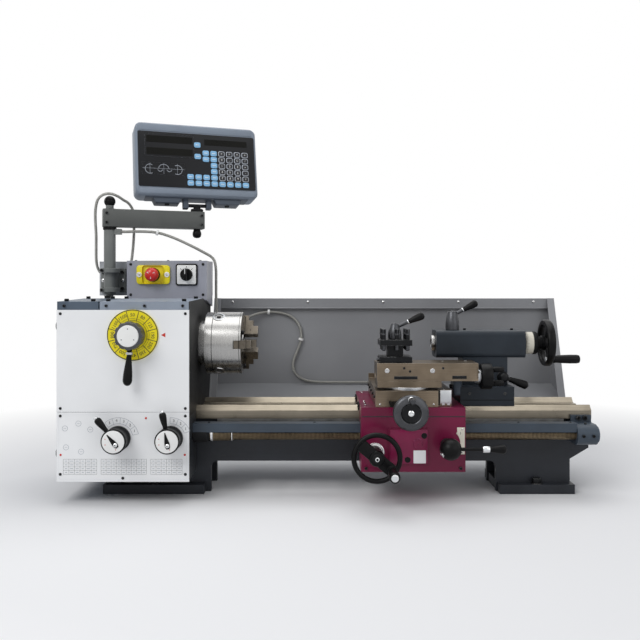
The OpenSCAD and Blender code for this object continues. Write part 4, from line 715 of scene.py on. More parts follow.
        # The socket's recess takes the dark finish: painted shade.
        self.turned([(r * 0.56, high), (r * 0.5, high - r * 0.1), (r * 0.46, high * 0.45),
                     (0.0, high * 0.4)], aim(at, along, 15.0), dark, 6)

    def pan_screw(
            self, at: Point, along: Vector, wide: float, finish: int = 0, dark: int = 0) -> None:
        """Add a domed screw with a cross in its head.

        Args:
            at: The middle under its head.
            along: Where its head points.
            wide: The head's width.
            finish: The number of its finish.
            dark: The finish of the cross, dark as painted shade in its recess.
        """
        r = wide / 2
        dome = [(0.0, 0.0), (r, 0.0), (r, r * 0.15), (r * 0.93, r * 0.36), (r * 0.7, r * 0.52),
                (r * 0.35, r * 0.6), (0.0, r * 0.62)]
        self.turned(dome, aim(at, along), finish, 20)
        # The cross is laid dark on the dome: painted shade for its recess.
        for turn in (20.0, 110.0):
            self.box((-r * 0.5, -r * 0.09, r * 0.5), (r * 0.5, r * 0.09, r * 0.645), dark, 0.0,
                     aim(at, along, turn))

    def bolt(self, at: Point, along: Vector, across: float, finish: int = 0,
             turn: float = 0.0) -> None:
        """Add a hexagon bolt's head on its washer.

        Args:
            at: The middle under its washer.
            along: Where its head points.
            across: The head's width.
            finish: The number of its finish.
            turn: The head's turn, in degrees.
        """
        r = across / 2
        self.solid([(r * 1.3, 0.0), (r * 1.35, 0.5), (r * 1.3, 1.2)], aim(at, along), finish, 24)
        part = bmesh.new()
        bmesh.ops.create_cone(
            part, cap_ends=True, segments=6, radius1=r * 1.12, radius2=r * 1.12, depth=across * 0.6)
        lift = shift(0, 0, across * 0.3 + 1.0)
        self.take(part, aim(at, along, turn) @ lift, finish, across * 0.06)

    def words(self, text: str, size: float, place: Matrix, finish: int = 0,
              thick: float = 0.25) -> None:
        """Add plain raised figures.

        Args:
            text: The figures.
            size: Their height.
            place: Where their middle lies.
            finish: The number of their finish.
            thick: How far they rise.
        """
        curve = bpy.data.curves.new("figures", "FONT")
        curve.body, curve.size, curve.extrude = text, size * 1.4, thick / 2
        curve.align_x, curve.align_y, curve.resolution_u = "CENTER", "CENTER", 2
        writer = bpy.data.objects.new("figures", curve)
        drawn = as_mesh(writer)
        part = bmesh.new()
        part.from_mesh(drawn)
        bpy.data.meshes.remove(drawn)
        self.take(part, place @ shift(0, 0, thick / 2), finish)

    def ticks(self, place: Matrix, radius: float, count: int, length: float, finish: int,
              wide: float = 0.3) -> None:
        """Add a scale's lines round a drum, every fifth of them long.

        Args:
            place: Where the drum's middle and axis go.
            radius: The drum's radius.
            count: How many lines there are.
            length: The length of a short line.
            finish: The number of their finish.
            wide: The width of a line.
        """
        for k in range(count):
            reach = length * (1.7 if k % 5 == 0 else 1.0)
            turn = place @ spun(k * 360.0 / count)
            self.box(
                (radius - 0.3, -wide / 2, 0.0), (radius + 0.12, wide / 2, reach), finish, 0.0, turn)

    def knurl(self, place: Matrix, radius: float, low: float, high: float, count: int,
              finish: int = 0) -> None:
        """Add the fine ribs of a knurled band.

        Args:
            place: Where the band's axis goes.
            radius: Its radius under the ribs.
            low: Where the ribs start.
            high: Where they end.
            count: How many there are.
            finish: The number of their finish.
        """
        half = math.pi * radius / count * 0.55
        for k in range(count):
            turn = place @ Matrix.Rotation(2 * math.pi * k / count, 4, "Z")
            self.box((radius - 0.6, -half, low), (radius + 0.6, half, high), finish, 0.35, turn)

    def done(self, name: str, finishes: list[Finish], body: str,
             replaces: tuple[str, ...] = ()) -> bpy.types.Object:
        """Turn the collected parts into a piece of the machine.

        Args:
            name: The piece's name.
            finishes: Its finishes, in the order of their numbers.
            body: The body that it moves with.
            replaces: The solids that it stands for.

        Returns:
            The piece.
        """
        bmesh.ops.scale(self.mesh, vec=(MM, MM, MM), verts=self.mesh.verts)
        data = bpy.data.meshes.new(name)
        self.mesh.to_mesh(data)
        self.mesh.free()
        data.set_sharp_from_angle(angle=SHARP_FROM)
        for finish in finishes:
            data.materials.append(finish.material())
        piece = bpy.data.objects.new(name, data)
        bpy.context.scene.collection.objects.link(piece)
        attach(piece, body)
        if replaces:
            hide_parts(*replaces)
        LOG.info("%s: %d faces", name, len(data.polygons))
        return piece


def heading(at: Matrix, way: Vector) -> float:
    """Find the turn about a place's own axis that points its x that way, in degrees."""
    aimed = at.to_3x3().inverted() @ way
    return math.degrees(math.atan2(aimed.y, aimed.x))


def rounded(wide: float, high: float, corner: float, steps: int = 5) -> Outline:
    """Give the outline of a rectangle with rounded corners.

    Args:
        wide: Its width.
        high: Its height.
        corner: The radius of its corners.
        steps: How many faces go round a corner.

    Returns:
        The outline's points round its middle.
    """
    points = []
    for k, (sx, sy) in enumerate(((1, 1), (-1, 1), (-1, -1), (1, -1))):
        cx, cy = sx * (wide / 2 - corner), sy * (high / 2 - corner)
        for i in range(steps + 1):
            turn = math.radians(k * 90 + i * 90 / steps)
            points.append((cx + corner * math.cos(turn), cy + corner * math.sin(turn)))
    return points


def arc(radius: float, start: float, end: float, steps: int = 12) -> Outline:
    """Give points on an arc, from one angle in degrees to another."""
    turns = [math.radians(start + (end - start) * k / steps) for k in range(steps + 1)]
    return [(radius * math.cos(t), radius * math.sin(t)) for t in turns]


def band(inner: float, outer: float, start: float, end: float) -> Outline:
    """Give the outline of a stretch of a flat ring, between two angles in degrees."""
    return arc(inner, start, end) + arc(outer, end, start)


def dress(table: dict[str, Finish | list[Finish]]) -> None:
    """Give solids their finishes.

    Args:
        table: For each solid its finish, or one for each of its colours.
    """
    for node, given in table.items():
        finishes = given if isinstance(given, list) else [given]
        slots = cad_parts[node].material_slots
        for k, place in enumerate(slots):
            place.material = finishes[min(k, len(finishes) - 1)].material()
        LOG.info("%s: %d finishes", node, len(slots))


@dataclass
class Headstock:
    """The casting at the left with its sheet panels, covers, gears and motor."""

    left: float = -537.6
    right: float = -292.0
    front: float = -150.3
    low: float = 42.0
    seam: float = 171.0
    knobs: float = 123.0
    top: float = 360.5
    roof_front: float = 376.0
    roof_peak: float = 380.5

    def build(self) -> None:
        """Build and dress the whole headstock."""
        dress({"headstock": HEAD, "end_cover": COVER, "gear_door": COVER, "front_panels": PANEL,
               "feed_box": CASTING, "motor": MOTOR_PAINT, "drive_belt": RUBBER, "idler_gear": BRASS,
               "bearing_races": BRIGHT, "bearing_balls": BRIGHT, "motor_pulley": STEEL})
        self.screws()
        self.panel_print()
        self.roof()
        self.door()
        self.motor()

    def screws(self) -> None:
        """Replace the small screws of the panels, bracket and guard."""
        part = Shape()
        for x in (self.left + 7, self.right - 7):
            for z in (self.top - 7, self.seam + 7, self.seam - 7, self.low + 14):
                part.pan_screw((x, self.front - 0.05, z), FRONT, 5.4, 0, 1)
        part.pan_screw(
            ((self.left + self.right) / 2, self.front - 0.05, self.low + 7), FRONT, 5.4, 0, 1)
        for x in (452, 465):
            part.socket_screw((x, -75.05, 149), FRONT, 9, 0, 1)
        for k in range(4):
            x = -292 + 30 + k * (776 - 60) / 3
            part.bolt((x, 79.8, 151.55), UP, 11, 0, 10 + 17 * k)
        part.done("panel_screws", [OXIDE, MATT], "base", ("machine_screws",))

    def panel_print(self) -> None:
        """Print the panels' plain marks: scales round the knobs, round signs and tables."""
        part = Shape()
        face = self.front - 0.02
        inner, outer, cell = 27, 38, 24
        middle = (inner + outer) / 2
        for x, cells, start in ((-423, 5, 12), (-326, 3, 20)):
            at = facing((x, face, self.knobs))
            for k in range(cells + 1):
                line = at @ spun(start + k * cell)
                part.box((inner, -0.3, 0), (outer, 0.3, 0.2), 1, 0, line)
            for radius in (inner, outer):
                part.sheet(
                    band(radius - 0.3, radius + 0.3, start, start + cells * cell), 0.2, at, 1)
            for k in range(cells):
                turn = math.radians(start + cell / 2 + k * cell)
                spot = (x + middle * math.cos(turn), face, self.knobs + middle * math.sin(turn))
                part.words(str(k + 1), 5, facing(spot), 0, 0.2)
        for x, z in ((-522, 141), (-497, 150), (-475, 139), (-520, 106), (-492, 98)):
            part.turned(
                [(5.2, 0), (5.2, 0.2), (4.6, 0.2), (4.6, 0), (5.2, 0)], facing((x, face, z)), 1, 28)
            part.box((-2.4, -0.25, 0), (2.4, 0.25, 0.2), 1, 0, facing((x, face, z)))
        for left, wide, columns in ((-525, 62, 6), (-455, 84, 9), (-363, 58, 6)):
            self.table(part, left, wide, columns, face)
        part.frame(self.right - self.left - 8, self.seam - self.low - 9, 0.5, 0.2,
                   facing(((self.left + self.right) / 2, face, (self.low + self.seam) / 2)), 1, 5)
        for x, z in ((-530, 92), (-300, 92), (-372, 160)):
            part.turned(
                [(0, 0), (2.1, 0), (1.9, 0.7), (1.1, 1.2), (0, 1.3)], facing((x, face, z)), 2, 16)
        part.done("panel_marks", [PRINT, PRINT_PALE, PRINT_RED], "base")

    def table(self, part: Shape, left: float, wide: float, columns: int, face: float) -> None:
        """Print one plain table of lines and dashes.

        Args:
            part: The piece it is part of.
            left: Its left side.
            wide: Its width.
            columns: How many columns it has.
            face: The panel's face.
        """
        low, high, rows = 56, 84, 4
        for k in range(columns + 1):
            x = left + wide * k / columns
            part.box((x - 0.15, face - 0.18, low), (x + 0.15, face, high), 0, 0)
        for k in range(rows + 1):
            z = low + (high - low) * k / rows
            part.box((left, face - 0.18, z - 0.15), (left + wide, face, z + 0.15), 0, 0)
        for k in range(columns):
            for row in range(rows):
                x, z = left + wide * (k + 0.5) / columns, low + (high - low) * (row + 0.5) / rows
                half = wide / columns * (0.2 + 0.1 * ((k * 5 + row * 3) % 3) / 2)
                part.box((x - half, face - 0.18, z - 0.45), (x + half, face, z + 0.45), 1, 0)

    def roof(self) -> None:
        """Add the screws of the roof and of its front band."""
        part = Shape()
        slope = math.atan2(self.roof_peak - self.roof_front, 170)
        lean = Vector((0, -math.sin(slope), math.cos(slope)))
        for x in (-524, -474, -446, -304):
            for y in (-134, 6):
                z = self.roof_front + (y + 148) * math.tan(slope)
                part.socket_screw((x, y, z - 0.3), lean, 8.5, 0, 1)
        for x in (-524, -446, -375, -304):
            part.socket_screw((x, -148.1, 368), FRONT, 5.5, 0, 1)
        part.done("roof_screws", [OXIDE, MATT], "base")

    def door(self) -> None:
        """Add the gear door's louvres, latches and pressed frame."""
        x = -537.85
        part = Shape()
        for row in range(9):
            z = 236 + row * 12
            for y in (-78, 10):
                slot = shift(x + 0.6, y, z) @ spun(-24, "Y")
                part.box((-3.4, 0, -3.2), (0, 66, 3.2), 0, 1.2, slot)
                # A matt black strip under each louvre: painted shade in its opening.
                part.box((-1, 2, -5.2), (-0.2, 64, -3.4), 1, 0.2, shift(x + 0.6, y, z))
        for z in (92, 330):
            part.turned(
                [(0, 0), (9, 0), (9, 5), (8, 6.4), (0, 7)], aim((x + 0.4, -128, z), LEFT), 1, 32)
            part.knurl(aim((x + 0.4, -128, z), LEFT), 9, 0.8, 5, 26, 1)
            part.box((-7.5, -1, 6.4), (7.5, 1, 7.3), 2, 0.3, aim((x + 0.4, -128, z), LEFT, 30))
        part.frame(250, 292, 1.6, 0.7, aim((x + 0.2, -6, 204), LEFT), 0, 12)
        part.done("door_fittings", [COVER, MATT, BRIGHT], "gear_door")

    def motor(self) -> None:
        """Add the motor's fins, end bell, terminal box and lead gland."""
        part = Shape()
        y, z, x0 = 96, 100, -455
        for k in range(30):
            turn = shift(0, y, z) @ spun(12 * k, "X")
            if not 60 <= 12 * k <= 120:
                part.box((x0 + 14, 41.6, -1.1), (x0 + 132, 47.5, 1.1), 0, 0.5, turn)
        bell = [(42.2, 0), (43.6, 1), (43.6, 11), (41, 15), (30, 19), (0, 20.5)]
        part.turned(bell, aim((x0 + 134, y, z), RIGHT), 0, 48)
        for k in range(10):
            turn = math.radians(36 * k)
            at = (x0 + 151.2, y + 26 * math.cos(turn), z + 26 * math.sin(turn))
            part.solid([(3.2, 0), (2.8, 1.2)], aim(at, RIGHT), 1, 16)
        part.box((x0 + 48, y + 30, z - 22), (x0 + 98, y + 56, z + 22), 0, 3)
        part.box((x0 + 46, y + 55, z - 24), (x0 + 100, y + 58, z + 24), 0, 1.2)
        for sx in (51, 95):
            for sz in (-19, 19):
                part.pan_screw((x0 + sx, y + 58, z + sz), BACK, 5, 2, 1)
        part.turned([(7, 0), (7.5, 2), (6, 9), (4.2, 11), (0, 11)],
                    aim((x0 + 73, y + 43, z - 22), DOWN), 1, 20)
        part.done("motor_fins", [MOTOR_PAINT, MATT, OXIDE], "base")


@dataclass
class SpeedDial:
    """The yellow speed scale with its fluted knob and lever."""

    x: float = -396.0
    z: float = 314.0
    back: float = -150.6
    radius: float = 47.5
    thick: float = 3.0
    knob_radius: float = 26.0
    hub: float = -153.9
    knob_face: float = -189.9

    def build(self) -> None:
        """Build the scale and the lever."""
        self.scale()
        self.lever()

    def scale(self) -> None:
        """Turn the yellow disc and print its ring of figures."""
        part = Shape()
        at = facing((self.x, self.back, self.z))
        r, t = self.radius, self.thick
        part.turned(
            [(6.4, 0), (r - 0.4, 0), (r, 0.5), (r, t - 0.8), (r - 0.8, t), (6.4, t)], at, 0, 96)
        top = facing((self.x, self.back - t + 0.02, self.z))
        for radius, line in ((47.2, 1.6), (31, 0.35), (27.4, 0.7)):
            ring = [
                (radius, 0), (radius, 0.2), (radius - line, 0.2), (radius - line, 0), (radius, 0)]
            part.turned(ring, top, 1, 96)
        figures = (
            "50", "80", "125", "190", "250", "330", "420", "500", "750", "900", "1100", "1500")
        for k, figure in enumerate(figures):
            edge = top @ spun(30 * k + 15)
            part.box((27.4, -0.55, 0), (46.4, 0.55, 0.2), 1, 0, edge)
            turn = spun(90 - 30 * k)
            part.words(figure, 6.2, top @ turn @ shift(37.2, 0, 0) @ spun(-90), 1, 0.2)
        mark = [(52, 0), (60, 4.2), (60, -4.2)]
        part.sheet(mark, 0.25, facing((self.x, -150.32, self.z)), 2)
        part.done("speed_scale", [YELLOW, PRINT, PRINT_RED], "base", ("speed_dial",))

    def lever(self) -> None:
        """Build the fluted knob with its cap, and the lever under it."""
        part = Shape()
        r = self.knob_radius
        part.solid(
            [(23.4, 0), (23.4, 8.4), (22.4, 10)], aim((self.x, self.hub, self.z), FRONT), 0, 64)
        outline = []
        for k in range(96):
            turn = 2 * math.pi * k / 96
            bulge = r - 1.9 * (0.5 - 0.5 * math.cos(12 * turn)) ** 1.6
            outline.append((bulge * math.cos(turn), bulge * math.sin(turn)))
        part.sheet(outline, 26, facing((self.x, self.hub - 10, self.z)), 0, 1)
        cap = [(19.6, 0), (19.6, 1.2), (18.6, 2.1), (10, 2.6), (0, 2.8)]
        part.turned(cap, aim((self.x, self.knob_face, self.z), FRONT), 1, 64)
        for k in range(3):
            turn = math.radians(90 + 120 * k)
            at = (self.x + 13 * math.cos(turn), self.knob_face - 2.3, self.z + 13 * math.sin(turn))
            part.solid([(1, 0), (0.8, 0.5)], aim(at, FRONT), 2, 12)
        lean = math.radians(4)
        down = Vector((-math.sin(lean), 0, -math.cos(lean)))
        foot = Vector((self.x, self.hub - 19, self.z - 13))
        part.rod(foot, foot + down * 30, 4.5, 3)
        part.turned(
            [(4.8, 0), (6.4, 0.8), (6.4, 4.6), (4.8, 5.4)], aim(foot + down * 16.5, down), 4, 28)
        part.grip(foot + down * 20, foot + down * 79, 4.4, 8.6, 3)
        part.rod((self.x, self.hub + 0.5, self.z), (self.x, -127, self.z), 5.9, 4)
        part.done("speed_knob", [KNOB_GREY, WHITE, PRINT, BLACK, BRIGHT], "speed_lever",
                  ("speed_lever",))


@dataclass
class FeedSelector:
    """A feed knob: black drum, white face, pointer and tapered lever."""

    side: str
    x: float
    lean: float
    z: float = 123.0
    back: float = -150.6
    radius: float = 23.0
    length: float = 38.0

    def build(self) -> None:
        """Build the whole knob."""
        part = Shape()
        r, out = self.radius, self.length
        drum = [(0, 0), (r - 0.6, 0), (r, 0.8), (r, 6), (r - 2.2, 9), (r - 2.2, out - 10),
                (r, out - 7), (r, out - 1.4), (r - 1.4, out), (0, out)]
        part.turned(drum, aim((self.x, self.back, self.z), FRONT), 0, 64)
        face = self.back - out
        plate = [(r - 2.6, 0), (r - 2.6, 0.7), (r - 3.4, 1.1), (0, 1.1)]
        part.turned(plate, aim((self.x, face, self.z), FRONT), 1, 64)
        lean = math.radians(self.lean)
        up = Vector((-math.sin(lean), 0, math.cos(lean)))
        at = facing(
            (self.x, face - 1.05, self.z)) @ Matrix.Rotation(math.radians(90) + lean, 4, "Z")
        pointer = [(-13, -2.6), (-9, -4.6), (-3, -4.6), (17, -0.7), (17, 0.7), (-3, 4.6), (-9, 4.6),
                   (-13, 2.6)]
        part.sheet(pointer, 1.3, at, 0, 0.3)
        tip = Vector((self.x, face - 2.3, self.z)) - up * 7
        part.pan_screw(tip, FRONT, 8, 2, 0)
        for turn in (160, 200, 290):
            angle = math.radians(turn)
            spot = (self.x + 15 * math.cos(angle), face - 1, self.z + 15 * math.sin(angle))
            part.solid([(0.9, 0), (0.8, 0.35)], aim(spot, FRONT), 3, 12)
        foot = Vector((self.x, self.back - out * 0.7, self.z))
        part.rod(foot, foot + up * 32, 4, 0)
        part.grip(foot + up * 22, foot + up * 53, 4, 6.6, 0)
        part.turned(
            [(3.6, 0), (4.2, 0.6), (4.2, 2.4), (2.8, 4), (0, 4.4)], aim(foot + up * 52, up), 2, 24)
        part.rod((self.x, self.back + 0.5, self.z), (self.x, -133, self.z), 5.9, 2)
        name = f"feed_knob_{self.side}"
        part.done(
            f"feed_selector_{self.side}", [BLACK, WHITE, CHROME, PRINT_RED], name, (name,))


@dataclass
class Controls:
    """The electrics box with its stop button and switch, and the rear plate."""

    stop: Point = (-400.0, 43.7, 430.0)
    switch: Point = (-330.0, 43.7, 430.0)

    def build(self) -> None:
        """Build and dress the controls."""
        dress({"electrics_box": BOX_PAINT, "rear_plate": [PLATE_PAINT, MATT]})
        self.plates()
        self.button()
        self.knob()
        self.box_fittings()

    def plates(self) -> None:
        """Build the yellow plate with its ears, and the white switch plate on its bezel."""
        part = Shape()
        x, y, z = self.stop
        part.sheet(rounded(70, 40, 7), 4.6, facing((x, y + 5.8, z)), 0, 1)
        for side in (-1, 1):
            part.turned([(5.2, 0), (5.6, 1.4), (4.2, 1.9), (3, 1.2), (0, 1.2)],
                        facing((x + side * 29, y + 1.2, z)), 1, 28)
            part.pan_screw((x + side * 29, y + 0.1, z), FRONT, 4.6, 2, 3)
        part.turned([(14.8, 0), (14.8, 0.8), (14, 1.2), (11, 1.2)], facing((x, y + 1.2, z)), 3, 56)
        part.frame(44, 39, 3.6, 5.4, facing((x, y + 1.3, z)), 0, 6)
        x, y, z = self.switch
        part.sheet(rounded(46, 46, 5), 3, facing((x, y + 5.9, z)), 3, 0.8)
        part.sheet(rounded(40, 40, 3), 2.6, facing((x, y + 3, z)), 1, 0.8)
        top = facing((x, y + 0.42, z))
        for turn in (45, 90, 135):
            mark = top @ spun(turn)
            part.box((14.6, -0.5, 0), (18, 0.5, 0.25), 3, 0, mark)
        part.done("control_faces", [YELLOW, WHITE, BRIGHT, BLACK], "base",
                  ("control_plates",))

    def button(self) -> None:
        """Turn the red mushroom button and its stem."""
        x, y, z = self.stop
        part = Shape()
        at = aim((x, y, z), FRONT)
        part.solid([(9.9, -30), (9.9, -0.4), (9.9, 7.6)], at, 1, 40)
        head = [(8, 6.4), (12.2, 6.8), (13.9, 8.6), (14.5, 12), (14.1, 16), (12.6, 19.6),
                (9.4, 22.4), (5, 23.8), (0, 24.1)]
        part.turned([(0, 6.4), *head], at, 0, 56)
        for turn in (30, 150, 270):
            spot = at @ spun(turn) @ shift(7.2, 0, 23)
            arrow = [(-2.6, -0.5), (0.2, -0.5), (0.2, -1.5), (2.4, 0), (0.2, 1.5), (0.2, 0.5),
                     (-2.6, 0.5)]
            part.sheet(arrow, 0.5, spot @ spun(17.6, "Y"), 2)
        part.done("stop_mushroom", [RED, MATT, WHITE], "stop_button", ("stop_button",))

    def knob(self) -> None:
        """Build the rotary switch's knob with its white line."""
        x, y, z = self.switch
        part = Shape()
        at = aim((x, y - 0.3, z), FRONT)
        part.turned(
            [(0, -12), (5.9, -12), (5.9, 0), (13, 0), (13, 1.6), (11.8, 3.4), (0, 3.6)], at, 0, 48)
        part.box((-3.4, -12, 3), (3.4, 12, 19.6), 0, 1.6, at)
        part.box((-0.7, -11.4, 19.2), (0.7, -1, 19.9), 1, 0.2, at @ spun(180))
        part.done("switch_handle", [BLACK, WHITE], "switch_knob", ("switch_knob",))

    def box_fittings(self) -> None:
        """Add the box's screws, rear bolts, vents and cable gland."""
        part = Shape()
        for x in (-448, -296):
            for z in (388, 452):
                part.pan_screw((x, 49.95, z), FRONT, 6, 0, 1)
        for x in (-440, -372, -304):
            part.pan_screw((x, 64, 459.45), UP, 6, 0, 1)
            part.pan_screw((x, 124, 459.45), UP, 6, 0, 1)
        for x in (-520, -478, -420, -300):
            for z in (396, 452):
                part.bolt((x, 141.3, z), BACK, 8, 0, 20)
        # The vents are matt black slots laid on the box: painted shade for their openings.
        for k in range(8):
            part.box((-400 + 11 * k, 140.9, 408), (-395.5 + 11 * k, 141.6, 438), 1, 0.3)
        part.turned([(8, 0), (8.4, 1), (8.4, 6), (6.4, 8), (4.4, 10), (0, 10)],
                    aim((-340, 141.3, 404), BACK), 1, 6)
        part.done("box_screws", [OXIDE, MATT], "base")


@dataclass
class Readout:
    """The position display with its post, swinging arm and swivel."""

    post: tuple[float, float] = (-505.2, 100.0)
    arm_low: float = 534.3
    arm_high: float = 38.5
    arm_long: float = 190.0
    yaw: float = 20.0
    lean: float = 10.0
    wide: float = 270.0
    high: float = 164.0
    deep: float = 50.0
    foot: float = 15.5

    def build(self) -> None:
        """Build the post's fittings, the arm, the swivel and the display."""
        turn = spun(self.yaw)
        self.on_arm = shift(*self.post, self.arm_low) @ turn
        swivel = shift(self.arm_long, 0, self.arm_high + 14)
        self.on_swivel = self.on_arm @ swivel @ spun(-self.lean, "X")
        dress({"dro_post": [ARM, BLACK]})
        self.clamp()
        self.arm()
        self.swivel()
        self.housing()
        self.front()

    def clamp(self) -> None:
        """Add the post's collars, screws and head knob."""
        part = Shape()
        x, y = self.post
        for z in (393, 435):
            part.turned([(20.2, 0), (21, 0.8), (21, 9.2), (20.2, 10)], shift(x, y, z), 0, 56)
        for z in (398, 440):
            part.socket_screw((x - 12, y - 19, z), FRONT, 7, 1, 2)
        for side in (-1, 1):
            part.pan_screw((x + side * 21, 127.8, 419), FRONT, 9, 3, 2)
            for z in (401, 437):
                part.socket_screw((x + side * 21, 127.8, z), FRONT, 8, 1, 2)
        part.bolt((x, y - 18.4, 386), DOWN, 12, 1)
        part.turned([(13.6, 0), (14.4, 0.8), (14.4, 5.2), (13, 6)], shift(x, y, 528), 2, 48)
        part.ball((x, y, self.arm_low + self.arm_high + 16.8), 12.2, 2)
        part.done("post_clamp", [ARM, OXIDE, BLACK, BRIGHT], "base")

    def arm(self) -> None:
        """Build the arm as a folded channel with its caps and screws."""
        part = Shape()
        long, high = self.arm_long, self.arm_high
        part.box((-15, -15, 0), (long + 15, 15, high), 0, 1.6, self.on_arm)
        for x in (0, long):
            part.turned([(15, 0), (15.2, 0.6), (15.2, 0.9), (0, 0.9)],
                        self.on_arm @ shift(x, 0, high - 0.35), 0, 40)
        for x in (-8, long + 8):
            for z in (9, high - 9):
                part.socket_screw(
                    self.on_arm @ Vector((x, -14.95, z)), self.on_arm.to_3x3() @ FRONT, 6, 1, 2)
        part.done("readout_arm", [ARM_DARK, OXIDE, MATT], "dro_arm", ("dro_arm",))

    def swivel(self) -> None:
        """Build the swivel with its star disc, its screw knob and the ball under the arm."""
        part = Shape()
        at = self.on_arm @ shift(self.arm_long, 0, 0)
        part.solid([(6, -1.6), (6, 39.1)], at, 0, 32)
        part.turned([(0, -20), (5.4, -19.2), (8.6, -16.4), (10, -11), (9.4, -6.4), (7.8, -3),
                     (7.8, -0.7), (0, -0.7)], at, 0, 40)
        disc = [(0, 38.8), (12.4, 38.8), (13, 39.6), (13, 44.4), (12.2, 45.5), (8, 45.9), (8, 52.4),
                (0, 52.4)]
        part.turned(disc, at, 0, 48)
        for k in range(10):
            lobe = at @ spun(36 * k)
            part.solid(
                [(2.4, 39.6), (2.6, 40.2), (2.6, 44), (2, 44.8)], lobe @ shift(11.6, 0, 0), 0, 14)
        tilt = at @ shift(0, 0, self.arm_high + 14)
        part.solid(
            [(3.6, -32), (4, -31.4), (4, 31.4), (3.6, 32)], tilt @ aim((0, 0, 0), RIGHT), 1, 24)
        for side in (-1, 1):
            head = tilt @ aim((side * 26.6, 0, 0), RIGHT if side > 0 else LEFT)
            part.solid([(6, 0), (6.6, 0.8), (6.6, 4.6), (5.6, 5.4)], head, 0, 6)
        part.done("readout_swivel", [BLACK, OXIDE], "dro_mount", ("dro_mount",))

    def housing(self) -> None:
        """Build the shell: rounded sides, front bands, sloped underside, feet and rear vents."""
        part = Shape()
        at = self.on_swivel
        w, h, d, z0 = self.wide, self.high, self.deep, self.foot
        shell = bmesh.new()
        lift = shift(0, 0, z0 + h / 2) @ spun(90, "X")
        face = shell.faces.new([shell.verts.new((x, y, -d / 2)) for x, y in rounded(w, h, 14, 7)])
        for depth, inset in ((0, -1.6), (3, -1.2), (d - 8, 0), (3, 1.4), (2, 2.2)):
            if depth:
                grown = bmesh.ops.extrude_face_region(shell, geom=[face])["geom"]
                shell.faces.remove(face)
                face = next(g for g in grown if isinstance(g, bmesh.types.BMFace))
                bmesh.ops.translate(shell, vec=(0, 0, depth), verts=face.verts)
            size = (1 - 2 * inset / w, 1 - 2 * inset / h, 1)
            bmesh.ops.scale(shell, vec=size, verts=face.verts)
        bmesh.ops.scale(shell, vec=(w / (w + 2.4), h / (h + 2.4), 1), verts=shell.verts)
        bmesh.ops.holes_fill(shell, edges=[e for e in shell.edges if e.is_boundary], sides=0)
        part.take(shell, at @ lift, 0, 0)
        front = -d / 2
        part.box((-w / 2 + 8, front - 0.9, z0 + h - 17.4), (w / 2 - 8, front + 1, z0 + h - 2.6), 0,
                 0.8, at)
        part.box((-w / 2 + 8, front - 0.9, z0 + 2.6), (w / 2 - 8, front + 1, z0 + 15.4), 0, 0.8, at)
        for side in (-1, 1):
            x = side * w / 4
            legs = [
                (x - 33, z0 + 0.4), (x - 26, z0 - 14.6), (x + 26, z0 - 14.6), (x + 33, z0 + 0.4)]
            part.sheet(legs, 32, at @ shift(0, 16, 0) @ spun(90, "X"), 1, 1.4)
            lug = (side * 26 - 6, -8, -8), (side * 26 + 6, 8, z0 + 1)
            part.box(*lug, 1, 1.6, at)
            part.solid([(5.2, 0), (5.2, 2), (4.4, 2.8)], at @ aim((x, -4, z0 - 14.2), DOWN), 2, 24)
        under = [(-w / 2 + 16, z0 + 0.6), (-w / 2 + 22, z0 - 3.4), (w / 2 - 22, z0 - 3.4),
                 (w / 2 - 16, z0 + 0.6)]
        part.sheet(under, 40, at @ shift(0, 20, 0) @ spun(90, "X"), 1, 1.2)
        # The rear vents are matt black slots laid on the shell: painted shade for their openings.
        for k in range(16):
            part.box((-80 + 10.6 * k, d / 2 - 0.3, z0 + 96),
                     (-76 + 10.6 * k, d / 2 + 0.25, z0 + 134), 2, 0.1, at)
        for k, x in enumerate((-96, -66, -36)):
            part.turned([(9, 0), (9, 3), (7.6, 4), (5, 4), (5, 1), (0, 1)],
                        at @ aim((x, d / 2 - 0.4, z0 + 30), BACK), 3, 32)
        for x in (-120, 120):
            for z in (z0 + 14, z0 + h - 14):
                part.pan_screw(at @ Vector((x, d / 2 - 0.2, z)), at.to_3x3() @ BACK, 6, 3, 2)
        part.done("readout_shell", [SHELL, SHELL_DARK, MATT, BRIGHT], "display",
                  ("dro_housing",))

    def front(self) -> None:
        """Build the front film with its windows, its plain drawing and its forty keys."""
        part = Shape()
        low = self.foot + 18
        at = self.on_swivel @ shift(0, -self.deep / 2 - 0.1, 0) @ spun(90, "X")
        film = at @ shift(0, low + 63, 0)
        part.sheet(rounded(262, 126, 3), 1.6, film, 0, 0.4)
        mid = shift(0, 0, 1.55)
        part.frame(108, 52, 2, 0.4, film @ mid @ shift(-62, 32, 0), 1, 4)
        for y in (46, 18):
            part.sheet(rounded(102, 16, 1), 0.3, film @ mid @ shift(-62, y, 0), 2)
        part.sheet(rounded(98, 14, 1), 0.3, film @ mid @ shift(65, 45, 0), 2)
        drawing = film @ mid @ shift(-76, -22, 0)
        part.frame(94, 27, 0.6, 0.25, drawing, 1, 1)
        for x, r, start, end in ((-30, 10.5, 60, 300), (0, 11.5, 10, 170), (30, 10.5, -120, 120),
                                 (-8, 5, 190, 350), (12, 5, 190, 350)):
            part.sheet(band(r - 0.4, r + 0.4, start, end), 0.25, drawing @ shift(x, -1.5, 0), 1)
        for x in (-30, 0, 30):
            part.box((x - 0.2, -12, 0), (x + 0.2, 12, 0.25), 1, 0, drawing)
        part.box((-46, -0.2, 0), (46, 0.2, 0.25), 1, 0, drawing)
        figures = iter("789+456-123x0.C/====")
        across, up, first, foot = 17.9, 14.2, 18.5, low + 11
        for k in range(6):
            for i in range(-2, 6):
                if k < 2 or i > 0 or (i == 0 and k > 3):
                    blue = i < 2 or k == 0
                    text = "" if blue or k > 5 else next(figures, "")
                    self.key(part, at @ shift(first + across * i, foot + up * k, 1.55), blue, text)
        for k in (4.38, 6.27):
